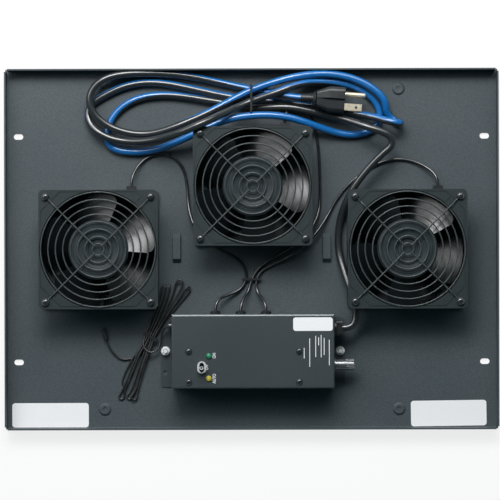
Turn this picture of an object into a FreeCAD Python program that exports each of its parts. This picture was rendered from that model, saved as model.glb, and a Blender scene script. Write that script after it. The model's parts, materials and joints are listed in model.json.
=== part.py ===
import FreeCAD
import Part
import math
import os

from FreeCAD import Vector

# Rack fan tray: a shallow steel tray that closes a rack enclosure, with three mains fans,
# a thermostat control box and its leads. It lies on its flat outer face.
# X runs along the long side, Y along the short side, +Z points away from the outer face.
# The origin is the centre of the outer face.

# ---------------------------------------------------------------- driving dimensions, in mm
SHEET = 1.5
TRAY_LENGTH = 497.5
TRAY_DEPTH = 363.5
TRAY_RIM = 15.9
BEND_RADIUS = 2.0
CORNER_RELIEF = 3.0

SLOT_SPACING_X = 471.0
SLOT_SPACING_Y = 228.0
SLOT_LENGTH = 9.6
SLOT_WIDTH = 5.6

DIMPLE_SPACING_X = 297.4
DIMPLE_SPACING_Y = 323.6
DIMPLE_BASE_RADIUS = 6.6
DIMPLE_TOP_RADIUS = 4.6
DIMPLE_HEIGHT = 1.8
DIMPLE_HOLE_RADIUS = 2.5

VENT_RADII = (20.0, 31.5, 43.0, 54.0)
VENT_WIDTH = 6.4
VENT_BRIDGE = 6.0

BRIDGE_X = 75.8
BRIDGE_Y = 1.0
BRIDGE_WIDTH = 7.6
BRIDGE_LENGTH = 29.5
BRIDGE_RISE = 5.0
BRIDGE_RAMP = 4.5

FAN_SIZE = 119.0
FAN_DEPTH = 38.0
FAN_CORNER_RADIUS = 5.0
FAN_HOLE_PITCH = 104.8
FAN_HOLE_RADIUS = 2.25
FAN_FLANGE = 4.5
FAN_BORE_RADIUS = 57.5
FAN_DUCT_WALL = 1.9
EARTH_HOLE_AT = 62.7
EARTH_HOLE_RADIUS = 2.2
FAN_CENTRES = {"left": (-153.0, 0.0), "middle": (1.2, 63.0), "right": (155.5, 0.0)}

HUB_RADIUS = 30.0
HUB_WALL = 2.0
HUB_BASE = 8.0
HUB_TOP = 36.0
SHAFT_RADIUS = 2.5
SHAFT_FIT = 0.04
BUSH_RADIUS = 4.6
BLADE_COUNT = 5
BLADE_TIP_RADIUS = 56.2
BLADE_THICKNESS = 1.8
BLADE_LEAD = 29.0
BLADE_CORNER = 8.0
ROTOR_START = {"left": 25.0, "middle": 69.0, "right": 58.0}

GUARD_RINGS = 8
GUARD_FIRST_RING = 5.8
GUARD_PITCH = 7.35
GUARD_WIRE = 1.6
GUARD_DROP = 62.0

SCREW_RADIUS = 1.9
SCREW_HEAD_RADIUS = 3.5
SCREW_HEAD_HEIGHT = 2.3
NUT_FLATS = 7.0
NUT_HEIGHT = 3.2

FAN_PLUG_X = 32.0
FAN_PLUG_WIDTH = 9.6
FAN_PLUG_HEIGHT = 12.0
FAN_PLUG_Z = 13.0
LEAD_DIAMETER = 3.0

BOX_CENTRE_X = 1.0
BOX_BACK_Y = -65.2
BOX_LENGTH = 162.4
BOX_DEPTH = 73.5
BOX_TOP = 39.6
BOX_SHEET = 1.2
BOX_FOOT_LEFT = -92.2
BOX_FOOT_RIGHT = 93.8
BOX_FOOT_INSET = 3.5
STUD_Y = -102.8
STUD_LEFT_X = -87.3
STUD_RIGHT_X = 89.2
STUD_RADIUS = 2.0
SPARE_HOLE_Y = -125.0

BOARD_TOP = 28.6
BOARD_THICKNESS = 1.6
BOARD_X = (-71.0, 57.0)
BOARD_Y = (-136.0, -89.0)
COVER_SCREWS_X = (-63.0, 47.2)
COVER_SCREWS_Y = (-132.2, -101.7)

SWITCH_X = -50.0
SWITCH_Y = -117.6
SWITCH_PIVOT_Z = 36.5
SWITCH_TIP_Z = 56.0
SWITCH_SLOT_WIDTH = 4.8
SWITCH_SLOT_LENGTH = 9.4
LED_X = -43.0
LED_GREEN_Y = -106.3
LED_YELLOW_Y = -128.9
LED_RADIUS = 2.9

FUSE_Y = -116.2
FUSE_Z = 20.0
FUSE_BODY_RADIUS = 6.0
FUSE_NECK_RADIUS = 5.2
FUSE_CAP_RADIUS = 5.7

LEAD_GROMMETS_X = (-36.7, -11.2, 14.3)
LEAD_GROMMET_Z = 16.0
PROBE_GROMMET_Y = -77.6
PROBE_GROMMET_Z = 12.0
GLAND_Y = -79.4
GLAND_Z = 20.0
GLAND_FACE_X = 90.6

CORD_DIAMETER = 7.0
PROBE_WIRE = 2.0
PROBE_TIP_DIAMETER = 4.6

PLUG_BACK_X = 49.5
PLUG_FACE_X = 93.6
PLUG_Y = 151.8
PLUG_Z = 20.0
PLUG_TILT = -4.0

# Routes of the cords: hand-placed corner points that the straight runs aim at.
POWER_CORD_ROUTE = [
    (90.6, -79.4, 20.0),
    (98.5, -79.4, 20.0),
    (104.3, -72.5, 19.5),
    (104.2, -60.0, 18.5),
    (100.4, -44.0, 18.0),
    (94.0, -26.0, 12.5),
    (88.6, -7.0, 6.5),
    (86.9, 11.0, 5.4),
    (89.2, 31.0, 7.5),
    (95.7, 49.5, 15.5),
    (105.0, 65.5, 19.5),
    (118.5, 82.5, 20.5),
    (133.0, 97.0, 21.5),
    (141.5, 103.5, 22.0),
    (140.5, 112.5, 23.5),
    (130.0, 117.8, 24.5),
]
LEAD_ROUTES = {
    "left": [
        (-121.0, 63.6, 13.0),
        (-121.0, 70.5, 13.0),
        (-116.5, 82.0, 7.5),
        (-107.0, 92.5, 3.4),
        (-92.0, 97.0, 3.3),
        (-77.0, 93.0, 3.3),
        (-67.5, 80.0, 3.3),
        (-64.5, 60.0, 3.3),
        (-64.0, 44.0, 5.5),
        (-60.5, 28.5, 12.0),
        (-52.0, 15.5, 15.5),
        (-42.0, 6.0, 12.5),
        (-31.0, -1.5, 5.5),
        (-17.0, -8.0, 3.4),
        (-7.0, -18.0, 3.3),
        (-4.6, -30.5, 3.3),
        (-11.0, -41.0, 3.6),
        (-24.5, -46.5, 7.0),
        (-33.5, -50.0, 12.5),
        (-36.7, -57.5, 15.8),
        (-36.7, -73.0, 16.2),
        (-37.2, -88.7, 17.3),
    ],
    "middle": [
        (33.2, 126.6, 13.0),
        (33.2, 133.5, 13.0),
        (37.5, 141.0, 9.5),
        (46.0, 143.5, 5.0),
        (55.5, 139.0, 3.4),
        (63.0, 127.5, 3.3),
        (67.5, 105.0, 3.3),
        (69.0, 82.0, 3.3),
        (69.4, 60.0, 3.3),
        (69.0, 42.0, 5.5),
        (64.0, 26.5, 11.5),
        (54.0, 13.5, 15.0),
        (42.0, 3.5, 11.5),
        (30.0, -4.5, 5.0),
        (17.0, -11.5, 3.4),
        (6.0, -20.0, 3.3),
        (0.0, -31.0, 3.3),
        (-3.0, -42.0, 4.6),
        (-8.5, -49.5, 10.5),
        (-11.2, -57.5, 15.6),
        (-11.2, -73.0, 16.2),
        (-11.7, -88.7, 17.3),
    ],
    "right": [
        (187.5, 63.6, 13.0),
        (187.5, 71.0, 13.0),
        (180.5, 80.0, 8.0),
        (166.0, 88.0, 3.6),
        (148.0, 91.5, 3.3),
        (129.0, 87.5, 3.3),
        (111.5, 76.5, 3.3),
        (95.5, 63.0, 3.3),
        (84.5, 48.0, 3.3),
        (77.0, 34.0, 5.0),
        (68.5, 20.5, 11.0),
        (58.5, 8.5, 14.5),
        (47.0, -1.5, 11.0),
        (35.0, -9.5, 5.0),
        (21.5, -15.5, 3.4),
        (9.5, -22.0, 3.3),
        (4.4, -31.5, 3.3),
        (5.0, -43.0, 4.4),
        (10.5, -49.5, 10.0),
        (14.3, -57.5, 15.6),
        (14.3, -73.0, 16.2),
        (13.8, -88.7, 17.3),
    ],
}
PROBE_LEAD_ROUTE = [
    (-83.6, -77.6, 12.0),
    (-87.4, -77.6, 12.0),
    (-91.0, -84.5, 7.5),
    (-91.6, -92.5, 5.4),
    (-94.4, -100.6, 4.8),
    (-100.4, -104.2, 3.6),
    (-106.6, -101.5, 4.4),
    (-109.6, -96.0, 5.0),
]
PROBE_TAIL_ROUTE = [
    (-147.2, -91.0, 3.9),
    (-145.0, -97.9, 3.9),
    (-139.5, -105.6, 3.4),
    (-131.0, -110.4, 3.3),
    (-121.5, -108.0, 4.6),
]


# ---------------------------------------------------------------- shared shapes
def block(x0, x1, y0, y1, z0, z1):
    """A box between two corners."""
    return Part.makeBox(x1 - x0, y1 - y0, z1 - z0, Vector(x0, y0, z0))


def rod(radius, z0, z1, x=0.0, y=0.0):
    """A round bar along Z."""
    return Part.makeCylinder(radius, z1 - z0, Vector(x, y, z0))


def rod_x(radius, x0, x1, y, z):
    """A round bar along X."""
    return Part.makeCylinder(radius, x1 - x0, Vector(x0, y, z), Vector(1, 0, 0))


def rod_y(radius, y0, y1, x, z):
    """A round bar along Y."""
    return Part.makeCylinder(radius, y1 - y0, Vector(x, y0, z), Vector(0, 1, 0))


def collar(outer, inner, z0, z1, x=0.0, y=0.0):
    """A ring along Z."""
    return rod(outer, z0, z1, x, y).cut(rod(inner, z0 - 1, z1 + 1, x, y))


def cone(radius0, radius1, z0, z1, x=0.0, y=0.0):
    """A frustum along Z."""
    return Part.makeCone(radius0, radius1, z1 - z0, Vector(x, y, z0))


def rounded_block(x0, x1, y0, y1, z0, z1, radius):
    """A box whose upright edges are rounded."""
    shape = block(x0, x1, y0, y1, z0, z1)
    upright = [e for e in shape.Edges if abs(e.Vertexes[0].Z - e.Vertexes[1].Z) > 1e-6]
    return shape.makeFillet(radius, upright)


def turned(profile, x=0.0, y=0.0):
    """A solid of revolution about Z; the profile is a list of (radius, z)."""
    points = [Vector(r, 0, z) for r, z in profile]
    face = Part.Face(Part.makePolygon(points + points[:1]))
    solid = face.revolve(Vector(0, 0, 0), Vector(0, 0, 1), 360)
    return solid.translated(Vector(x, y, 0))


def hexagon(flats, z0, z1, x=0.0, y=0.0):
    """A hexagonal bar along Z."""
    reach = flats / math.sqrt(3)
    corners = [math.radians(60 * k) for k in range(7)]
    points = [Vector(x + reach * math.cos(a), y + reach * math.sin(a), z0) for a in corners]
    return Part.Face(Part.makePolygon(points)).extrude(Vector(0, 0, z1 - z0))


def obround(x, y, length, width, z0, z1, along_y=False):
    """A slot-shaped bar along Z."""
    half = (length - width) / 2
    radius = width / 2
    ends = [rod(radius, z0, z1, -half), rod(radius, z0, z1, half)]
    shape = block(-half, half, -radius, radius, z0, z1).multiFuse(ends).removeSplitter()
    if along_y:
        shape.rotate(Vector(0, 0, 0), Vector(0, 0, 1), 90)
    return shape.translated(Vector(x, y, 0))


def fused(shapes):
    """One solid out of several that meet."""
    shape = shapes[0].multiFuse(shapes[1:]).removeSplitter()
    return shape.Solids[0] if len(shape.Solids) == 1 else shape


def cut_all(shape, tools):
    """A shape with every tool taken out of it."""
    return shape.cut(Part.makeCompound(tools))


def at_z(radius, angle, z):
    """A point given by radius and angle in degrees about Z."""
    a = math.radians(angle)
    return Vector(radius * math.cos(a), radius * math.sin(a), z)


def arc_slot(radius, width, start, end, z0, z1):
    """A curved slot about Z with straight ends."""
    outer = radius + width / 2
    inner = radius - width / 2
    middle = (start + end) / 2
    edges = [
        Part.Arc(at_z(outer, start, z0), at_z(outer, middle, z0), at_z(outer, end, z0)),
        Part.LineSegment(at_z(outer, end, z0), at_z(inner, end, z0)),
        Part.Arc(at_z(inner, end, z0), at_z(inner, middle, z0), at_z(inner, start, z0)),
        Part.LineSegment(at_z(inner, start, z0), at_z(outer, start, z0)),
    ]
    wire = Part.Wire([e.toShape() for e in edges])
    return Part.Face(wire).extrude(Vector(0, 0, z1 - z0))


def tangent_path(name, points):
    """Straight runs joined by arcs as large as each pair of runs allows."""
    edges = []
    radii = []
    start = points[0]
    for before, corner, after in zip(points, points[1:], points[2:]):
        incoming = corner - before
        outgoing = after - corner
        half_turn = incoming.getAngle(outgoing) / 2
        reach = 0.45 * min(incoming.Length, outgoing.Length)
        radius = reach / math.tan(half_turn)
        first = corner - Vector(incoming).normalize() * reach
        last = corner + Vector(outgoing).normalize() * reach
        inward = ((first + last) * 0.5 - corner).normalize()
        middle = corner + inward * (math.hypot(radius, reach) - radius)
        edges.append(Part.LineSegment(start, first).toShape())
        edges.append(Part.Arc(first, middle, last).toShape())
        radii.append(radius)
        start = last
    edges.append(Part.LineSegment(start, points[-1]).toShape())
    wire = Part.Wire(edges)
    print(name, "length %.0f mm" % wire.Length, "radii", [round(r) for r in radii])
    return wire


def cord_tube(name, route, diameter):
    """A round cord along a route."""
    points = [Vector(*p) for p in route]
    path = tangent_path(name, points)
    ring = Part.Circle(points[0], points[1] - points[0], diameter / 2).toShape()
    tube = path.makePipeShell([Part.Wire([ring])], True, False)
    section = math.pi * diameter**2 / 4
    print(name, "volume over section x length %.3f" % (tube.Volume / (section * path.Length)))
    return tube


def save(name, shape):
    """Write one node's solids."""
    shape.exportStep("parts/" + name + ".step")


# ---------------------------------------------------------------- the steel tray
def tray_shell():
    """The flat face with its four upturned flanges, bent from one sheet."""
    half_x = TRAY_LENGTH / 2
    half_y = TRAY_DEPTH / 2
    outer = block(-half_x, half_x, -half_y, half_y, 0, TRAY_RIM)
    low = [e for e in outer.Edges if max(v.Z for v in e.Vertexes) < 1e-6]
    outer = outer.makeFillet(BEND_RADIUS, low)
    inner_x = half_x - SHEET
    inner_y = half_y - SHEET
    inner = block(-inner_x, inner_x, -inner_y, inner_y, SHEET, TRAY_RIM + 1)
    low = [e for e in inner.Edges if max(v.Z for v in e.Vertexes) < SHEET + 1e-6]
    inner = inner.makeFillet(BEND_RADIUS - SHEET, low)
    reliefs = []
    for sx in (-1, 1):
        for sy in (-1, 1):
            x = sx * (half_x - CORNER_RELIEF / 2)
            y = sy * (half_y - CORNER_RELIEF / 2)
            r = CORNER_RELIEF / 2
            reliefs.append(block(x - r, x + r, y - r, y + r, BEND_RADIUS, TRAY_RIM + 1))
    return cut_all(outer.cut(inner), reliefs)


def vent_slots(x, y):
    """Curved air slots in rings, with bridges of sheet left between them."""
    slots = []
    for radius in VENT_RADII:
        gap = math.degrees(VENT_BRIDGE / 2 / radius)
        for k in range(4):
            start = 45 + 90 * k + gap
            slots.append(arc_slot(radius, VENT_WIDTH, start, start + 90 - 2 * gap, -1, SHEET + 1))
    return [s.translated(Vector(x, y, 0)) for s in slots]


def dimple(x, y):
    """A countersunk boss pressed up from the sheet, and the recess under it."""
    top = SHEET + DIMPLE_HEIGHT
    boss = cone(DIMPLE_BASE_RADIUS, DIMPLE_TOP_RADIUS, SHEET, top, x, y)
    recess = cone(DIMPLE_BASE_RADIUS - 1.2, DIMPLE_HOLE_RADIUS, 0, DIMPLE_HEIGHT, x, y)
    hole = rod(DIMPLE_HOLE_RADIUS, -1, top + 1, x, y)
    return boss, [recess, hole]


def tie_bridge(x):
    """A lanced strip that a cable tie passes under, and the window it was cut from."""
    half = BRIDGE_LENGTH / 2
    crest = half - BRIDGE_RAMP
    high = SHEET + BRIDGE_RISE
    side = [
        (-half, 0),
        (-half, SHEET),
        (-crest - 0.4, high),
        (crest + 0.4, high),
        (half, SHEET),
        (half, 0),
        (half - 1.6, 0),
        (crest - 0.6, high - SHEET),
        (-crest + 0.6, high - SHEET),
        (-half + 1.6, 0),
    ]
    points = [Vector(x - BRIDGE_WIDTH / 2, BRIDGE_Y + y, z) for y, z in side]
    strip = Part.Face(Part.makePolygon(points + points[:1])).extrude(Vector(BRIDGE_WIDTH, 0, 0))
    reach = BRIDGE_WIDTH / 2 + 0.4
    window = block(x - reach, x + reach, BRIDGE_Y - half + 1, BRIDGE_Y + half - 1, -1, SHEET + 1)
    return strip, window


def corner_places(name):
    """The four mounting holes of one fan."""
    x, y = FAN_CENTRES[name]
    half = FAN_HOLE_PITCH / 2
    return [(x + sx * half, y + sy * half) for sx in (-1, 1) for sy in (-1, 1)]


def panel():
    """The tray with all its holes, bosses and bridges."""
    shape = tray_shell()
    cuts = []
    strips = []
    for sx in (-1, 1):
        for sy in (-1, 1):
            x = sx * SLOT_SPACING_X / 2
            y = sy * SLOT_SPACING_Y / 2
            cuts.append(obround(x, y, SLOT_LENGTH, SLOT_WIDTH, -1, SHEET + 1))
            boss, holes = dimple(sx * DIMPLE_SPACING_X / 2, sy * DIMPLE_SPACING_Y / 2)
            shape = shape.fuse(boss)
            cuts += holes
        strip, window = tie_bridge(sx * BRIDGE_X)
        strips.append(strip)
        cuts.append(window)
    for name, (x, y) in FAN_CENTRES.items():
        cuts += vent_slots(x, y)
        for px, py in corner_places(name):
            cuts.append(cone(SCREW_HEAD_RADIUS, SCREW_RADIUS, 0, SHEET, px, py))
    for x in (STUD_LEFT_X, STUD_RIGHT_X):
        cuts.append(rod(STUD_RADIUS, -1, SHEET + 1, x, STUD_Y))
        cuts.append(rod(STUD_RADIUS + 1.4, -1, SHEET - 0.5, x, STUD_Y))
    return fused([cut_all(shape, cuts)] + strips)


# ---------------------------------------------------------------- one fan, centred on Z
def corner_cut_square(half, chamfer, z0, z1):
    """A square bar with chamfered corners."""
    corner = half - chamfer
    points = []
    for a in range(4):
        for u, v in ((half, -corner), (half, corner)):
            c = math.cos(math.radians(90 * a))
            s = math.sin(math.radians(90 * a))
            points.append(Vector(u * c - v * s, u * s + v * c, z0))
    return Part.Face(Part.makePolygon(points + points[:1])).extrude(Vector(0, 0, z1 - z0))


def fan_frame():
    """A cast frame: two square flanges on a round duct, with the motor mount on three struts."""
    half = FAN_SIZE / 2
    top = FAN_DEPTH
    rear = rounded_block(-half, half, -half, half, 0, FAN_FLANGE, FAN_CORNER_RADIUS)
    front = rounded_block(-half, half, -half, half, top - FAN_FLANGE, top, FAN_CORNER_RADIUS)
    duct = rod(FAN_BORE_RADIUS + FAN_DUCT_WALL, 0, top)
    terminal_x0 = FAN_PLUG_X - FAN_PLUG_WIDTH / 2 + 0.6
    terminal_x1 = FAN_PLUG_X + FAN_PLUG_WIDTH / 2 - 0.6
    low = FAN_PLUG_Z - SHEET - FAN_PLUG_HEIGHT / 2 + 1
    high = FAN_PLUG_Z - SHEET + FAN_PLUG_HEIGHT / 2 - 1
    terminal = block(terminal_x0, terminal_x1, 40, half - 2.5, low, high)
    shape = rear.multiFuse([front, duct, terminal])
    bore = [rod(FAN_BORE_RADIUS, -1, top + 1)]
    bore.append(cone(FAN_BORE_RADIUS, FAN_BORE_RADIUS + 1.4, top - 2.5, top))
    bore.append(cone(FAN_BORE_RADIUS + 1.4, FAN_BORE_RADIUS, 0, 2.5))
    hole_at = FAN_HOLE_PITCH / 2
    for sx in (-1, 1):
        for sy in (-1, 1):
            bore.append(rod(FAN_HOLE_RADIUS, -1, top + 1, sx * hole_at, sy * hole_at))
    groove = corner_cut_square(half - 1.9, 19.5, top - 0.6, top + 1)
    groove = groove.cut(corner_cut_square(half - 2.8, 19.2, top - 1, top + 2))
    earth_pad = block(FAN_BORE_RADIUS, 68.0, -4.2, 6.5, top - 0.6, top + 1)
    earth_pad = earth_pad.fuse(rod(EARTH_HOLE_RADIUS, top - FAN_FLANGE - 1, top + 1, EARTH_HOLE_AT))
    earth_pad.rotate(Vector(0, 0, 0), Vector(0, 0, 1), 45)
    shape = cut_all(shape, bore + [groove, earth_pad])
    mount = rod(HUB_RADIUS - 1, 1.0, 3.6)
    housing = rod(BUSH_RADIUS + 2.2, 3.6, 25.0)
    struts = []
    for k in range(3):
        strut = block(HUB_RADIUS - 3, FAN_BORE_RADIUS + 0.8, -3, 3, 1.0, 5.0)
        strut.rotate(Vector(0, 0, 0), Vector(0, 0, 1), 120 * k + 150)
        struts.append(strut)
    shape = fused([shape, mount, housing] + struts)
    return shape.cut(rod(BUSH_RADIUS, 3.6, 26))


def fan_stator():
    """Six wound poles on the bearing housing."""
    core = collar(12.0, BUSH_RADIUS + 2.2, 7.5, 23.0)
    parts = [core]
    for k in range(6):
        pole = block(10, 24, -2.5, 2.5, 9.5, 21)
        shoe = collar(26.0, 23.6, 9.5, 21).common(block(18, 30, -9, 9, 8, 23))
        coil = block(13, 21.5, -4.6, 4.6, 8.0, 22.5)
        for piece in (pole, shoe, coil):
            piece.rotate(Vector(0, 0, 0), Vector(0, 0, 1), 60 * k)
            parts.append(piece)
    return fused(parts)


def fan_bush():
    """The sleeve bearing that the shaft turns in."""
    return collar(BUSH_RADIUS, SHAFT_RADIUS + SHAFT_FIT, 4.2, 25.5)


def fan_shaft():
    """The rotor shaft."""
    return rod(SHAFT_RADIUS, 4.4, HUB_TOP - 3.2)


def blade_section(x, sweep, half_chord, low, high, camber):
    """One curved blade section in a plane at a distance x from the axis."""
    along = Vector(0, -2 * half_chord, high - low).normalize()
    normal = Vector(0, along.z, -along.y)
    start = Vector(x, sweep + half_chord, low)
    end = Vector(x, sweep - half_chord, high)
    middle = (start + end) * 0.5 + normal * camber
    lift = normal * BLADE_THICKNESS
    lower = Part.Arc(start, middle, end).toShape()
    tip = Part.LineSegment(end, end + lift).toShape()
    upper = Part.Arc(end + lift, middle + lift, start + lift).toShape()
    tail = Part.LineSegment(start + lift, start).toShape()
    return Part.Wire([lower, tip, upper, tail])


def blade_outline():
    """What one blade fills seen along the axis, its leading corner rounded off."""
    base = 6.0
    lead = math.radians(-BLADE_LEAD)
    ray = Vector(math.cos(lead), math.sin(lead), 0)
    beyond = [ray * 80, Vector(90, 0, 0), Vector(70, 70, 0), Vector(0, 90, 0)]
    corners = [Vector(0, 0, base)] + [point + Vector(0, 0, base) for point in beyond]
    side = Part.Face(Part.makePolygon(corners + corners[:1])).extrude(Vector(0, 0, HUB_TOP - base))
    shape = collar(BLADE_TIP_RADIUS, HUB_RADIUS - 0.8, base, HUB_TOP).common(side)
    corner = ray * BLADE_TIP_RADIUS + Vector(0, 0, (base + HUB_TOP) / 2)
    edge = min(shape.Edges, key=lambda e: e.CenterOfMass.distanceToPoint(corner))
    return shape.makeFillet(BLADE_CORNER, [edge])


def fan_impeller():
    """The rotor cup, with five wide twisted blades."""
    top = HUB_TOP
    cup = [
        (0, top - 1.2),
        (9.5, top - 1.2),
        (10.5, top - 0.2),
        (17.0, top - 0.2),
        (17.6, top),
        (24.5, top),
        (25.2, top - 0.6),
        (27.5, top - 0.6),
        (HUB_RADIUS, top - 2.6),
        (HUB_RADIUS, HUB_BASE),
        (HUB_RADIUS - HUB_WALL, HUB_BASE),
        (HUB_RADIUS - HUB_WALL, top - 4.2),
        (6.0, top - 4.2),
        (6.0, 27.0),
        (0, 27.0),
    ]
    hub = turned(cup).cut(rod(SHAFT_RADIUS, 20, top - 3.2))
    root = blade_section(20, 3.4, 15.0, 9.5, 32.4, 1.8)
    tip = blade_section(60, -3.8, 31.5, 10.5, 31.0, 4.2)
    blade = Part.makeLoft([root, tip], True, True).common(blade_outline())
    blades = []
    for k in range(BLADE_COUNT):
        copy = blade.copy()
        copy.rotate(Vector(0, 0, 0), Vector(0, 0, 1), 360 / BLADE_COUNT * k)
        blades.append(copy)
    return fused([hub] + blades)


def wire_corners():
    """The six corners of the guard's wire about its middle, flat above and below."""
    reach = GUARD_WIRE / 2 / math.cos(math.pi / 6)
    turns = [math.radians(60 * k) for k in range(6)]
    return [(reach * math.cos(a), reach * math.sin(a)) for a in turns]


def wire_ring(radius, z, x=0.0):
    """A ring of the guard's wire."""
    return turned([(radius + u, z + v) for u, v in wire_corners()], x)


def fan_guard():
    """A wire guard: rings, and four arms across them that bend down to screw eyes."""
    ring_z = FAN_DEPTH + GUARD_WIRE / 2
    arm_z = ring_z + GUARD_WIRE
    corner = FAN_HOLE_PITCH / math.sqrt(2)
    eye = SCREW_RADIUS + 0.4 + GUARD_WIRE / 2
    start = GUARD_FIRST_RING - GUARD_WIRE / 2
    bends = [(start, arm_z), (GUARD_DROP, arm_z), (GUARD_DROP + 4, ring_z), (corner - eye, ring_z)]
    path = Part.Wire(Part.makePolygon([Vector(x, 0, z) for x, z in bends]))
    corners = [Vector(start, u, arm_z + v) for u, v in wire_corners()]
    section = Part.Wire(Part.makePolygon(corners + corners[:1]))
    arm = path.makePipeShell([section], True, True, 1)
    arm = arm.fuse(wire_ring(eye, ring_z, corner))
    parts = [wire_ring(GUARD_FIRST_RING + GUARD_PITCH * k, ring_z) for k in range(GUARD_RINGS)]
    for k in range(4):
        turned_arm = arm.copy()
        turned_arm.rotate(Vector(0, 0, 0), Vector(0, 0, 1), 45 + 90 * k)
        parts.append(turned_arm)
    return fused(parts)


def fan_plug():
    """The moulded plug pushed on the fan's two terminals."""
    half = FAN_SIZE / 2
    x0 = FAN_PLUG_X - FAN_PLUG_WIDTH / 2
    x1 = FAN_PLUG_X + FAN_PLUG_WIDTH / 2
    low = FAN_PLUG_Z - SHEET - FAN_PLUG_HEIGHT / 2
    high = FAN_PLUG_Z - SHEET + FAN_PLUG_HEIGHT / 2
    body = rounded_block(x0, x1, half - 2.5, half + 4.1, low, high, 1.2)
    return body


# ---------------------------------------------------------------- fasteners
def guard_screw(x, y):
    """A domed screw through a guard eye and the front flange."""
    seat = SHEET + FAN_DEPTH + GUARD_WIRE
    head = [
        (0, seat),
        (SCREW_HEAD_RADIUS, seat),
        (SCREW_HEAD_RADIUS, seat + 0.8),
        (SCREW_HEAD_RADIUS - 1.2, seat + 1.9),
        (0, seat + SCREW_HEAD_HEIGHT),
    ]
    return turned(head, x, y).fuse(rod(SCREW_RADIUS, seat - 11.5, seat, x, y))


def mount_screw(x, y):
    """A countersunk screw, flush with the tray's outer face."""
    head = cone(SCREW_HEAD_RADIUS, SCREW_RADIUS, 0, SHEET, x, y)
    return head.fuse(rod(SCREW_RADIUS, SHEET, SHEET + 9.5, x, y))


def nut(x, y, z):
    """A hexagonal nut."""
    return hexagon(NUT_FLATS, z, z + NUT_HEIGHT, x, y).cut(rod(SCREW_RADIUS, z - 1, z + 5, x, y))


def save_fan_fasteners():
    """The screws and nuts of all three fans, as one node for each kind."""
    places = [p for name in FAN_CENTRES for p in corner_places(name)]
    front_nuts = SHEET + FAN_DEPTH - FAN_FLANGE - NUT_HEIGHT
    rear_nuts = SHEET + FAN_FLANGE
    save("guard_screws", Part.makeCompound([guard_screw(x, y) for x, y in places]))
    save("fan_mount_screws", Part.makeCompound([mount_screw(x, y) for x, y in places]))
    nuts = [nut(x, y, z) for x, y in places for z in (front_nuts, rear_nuts)]
    save("fan_nuts", Part.makeCompound(nuts))


def save_fans():
    """Every piece of the three fans."""
    pieces = {
        "frame": fan_frame(),
        "stator": fan_stator(),
        "bearing": fan_bush(),
        "guard": fan_guard(),
        "lead_plug": fan_plug(),
        "impeller": fan_impeller(),
        "shaft": fan_shaft(),
    }
    for name, (x, y) in FAN_CENTRES.items():
        for piece, shape in pieces.items():
            placed = shape.copy()
            if piece == "impeller":
                placed.rotate(Vector(0, 0, 0), Vector(0, 0, 1), ROTOR_START[name])
            save(name + "_fan_" + piece, placed.translated(Vector(x, y, SHEET)))
        lead = cord_tube(name + "_fan_lead", LEAD_ROUTES[name], LEAD_DIAMETER)
        save(name + "_fan_lead", lead)


# ---------------------------------------------------------------- the control box
def box_limits():
    """The outer faces of the control box."""
    x0 = BOX_CENTRE_X - BOX_LENGTH / 2
    x1 = BOX_CENTRE_X + BOX_LENGTH / 2
    return x0, x1, BOX_BACK_Y - BOX_DEPTH, BOX_BACK_Y


def control_box():
    """The folded cover, open below, with a foot turned out along each end."""
    x0, x1, y0, y1 = box_limits()
    shell = block(x0, x1, y0, y1, SHEET, BOX_TOP)
    top = [e for e in shell.Edges if min(v.Z for v in e.Vertexes) > BOX_TOP - 1e-6]
    shell = shell.makeFillet(1.6, top)
    t = BOX_SHEET
    shell = shell.cut(block(x0 + t, x1 - t, y0 + t, y1 - t, SHEET - 1, BOX_TOP - t))
    foot_y0 = y0 - 0.6
    foot_y1 = y1 - BOX_FOOT_INSET
    foot_z1 = SHEET + t
    left = rounded_block(BOX_FOOT_LEFT, x0 + 6, foot_y0, foot_y1, SHEET, foot_z1, 4.0)
    left = left.cut(block(x0 + t, x0 + 9, foot_y0 - 1, foot_y1 + 1, SHEET - 1, foot_z1 + 1))
    right = rounded_block(x1 - 6, BOX_FOOT_RIGHT, foot_y0, foot_y1, SHEET, foot_z1, 4.0)
    right = right.cut(block(x1 - 9, x1 - t, foot_y0 - 1, foot_y1 + 1, SHEET - 1, foot_z1 + 1))
    shell = fused([shell, left, right])
    cuts = [rod_y(4.2, y1 - 3, y1 + 3, x, LEAD_GROMMET_Z) for x in LEAD_GROMMETS_X]
    cuts.append(rod_x(3.2, x0 - 3, x0 + 3, PROBE_GROMMET_Y, PROBE_GROMMET_Z))
    cuts.append(rod_x(6.4, x1 - 3, x1 + 3, GLAND_Y, GLAND_Z))
    cuts.append(rod_x(FUSE_NECK_RADIUS, x1 - 3, x1 + 3, FUSE_Y, FUSE_Z))
    cuts.append(rod(STUD_RADIUS + 0.3, 0, 5, STUD_LEFT_X, STUD_Y))
    cuts.append(rod(STUD_RADIUS + 0.3, 0, 5, STUD_RIGHT_X, STUD_Y))
    cuts.append(rod(2.5, 0, 5, STUD_LEFT_X, SPARE_HOLE_Y))
    for y in (LED_GREEN_Y, LED_YELLOW_Y):
        cuts.append(rod(LED_RADIUS + 0.1, 30, 45, LED_X, y))
    for x in COVER_SCREWS_X:
        for y in COVER_SCREWS_Y:
            cuts.append(rod(1.7, 30, 45, x, y))
    cuts.append(obround(SWITCH_X, SWITCH_Y, 12.2, 9.2, 30, 45, True))
    return cut_all(shell, cuts)


def box_stud(x):
    """A flush-head stud pressed into the tray."""
    head = rod(STUD_RADIUS + 1.4, 0, SHEET - 0.5, x, STUD_Y)
    return head.fuse(rod(STUD_RADIUS, 0, 10.0, x, STUD_Y))


def box_nut(x):
    """A nut with its toothed washer."""
    z = SHEET + BOX_SHEET
    washer = rod(4.6, z, z + 0.8, x, STUD_Y)
    body = washer.fuse(hexagon(NUT_FLATS, z + 0.8, z + 3.8, x, STUD_Y))
    return body.cut(rod(STUD_RADIUS, 0, 12, x, STUD_Y))


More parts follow.
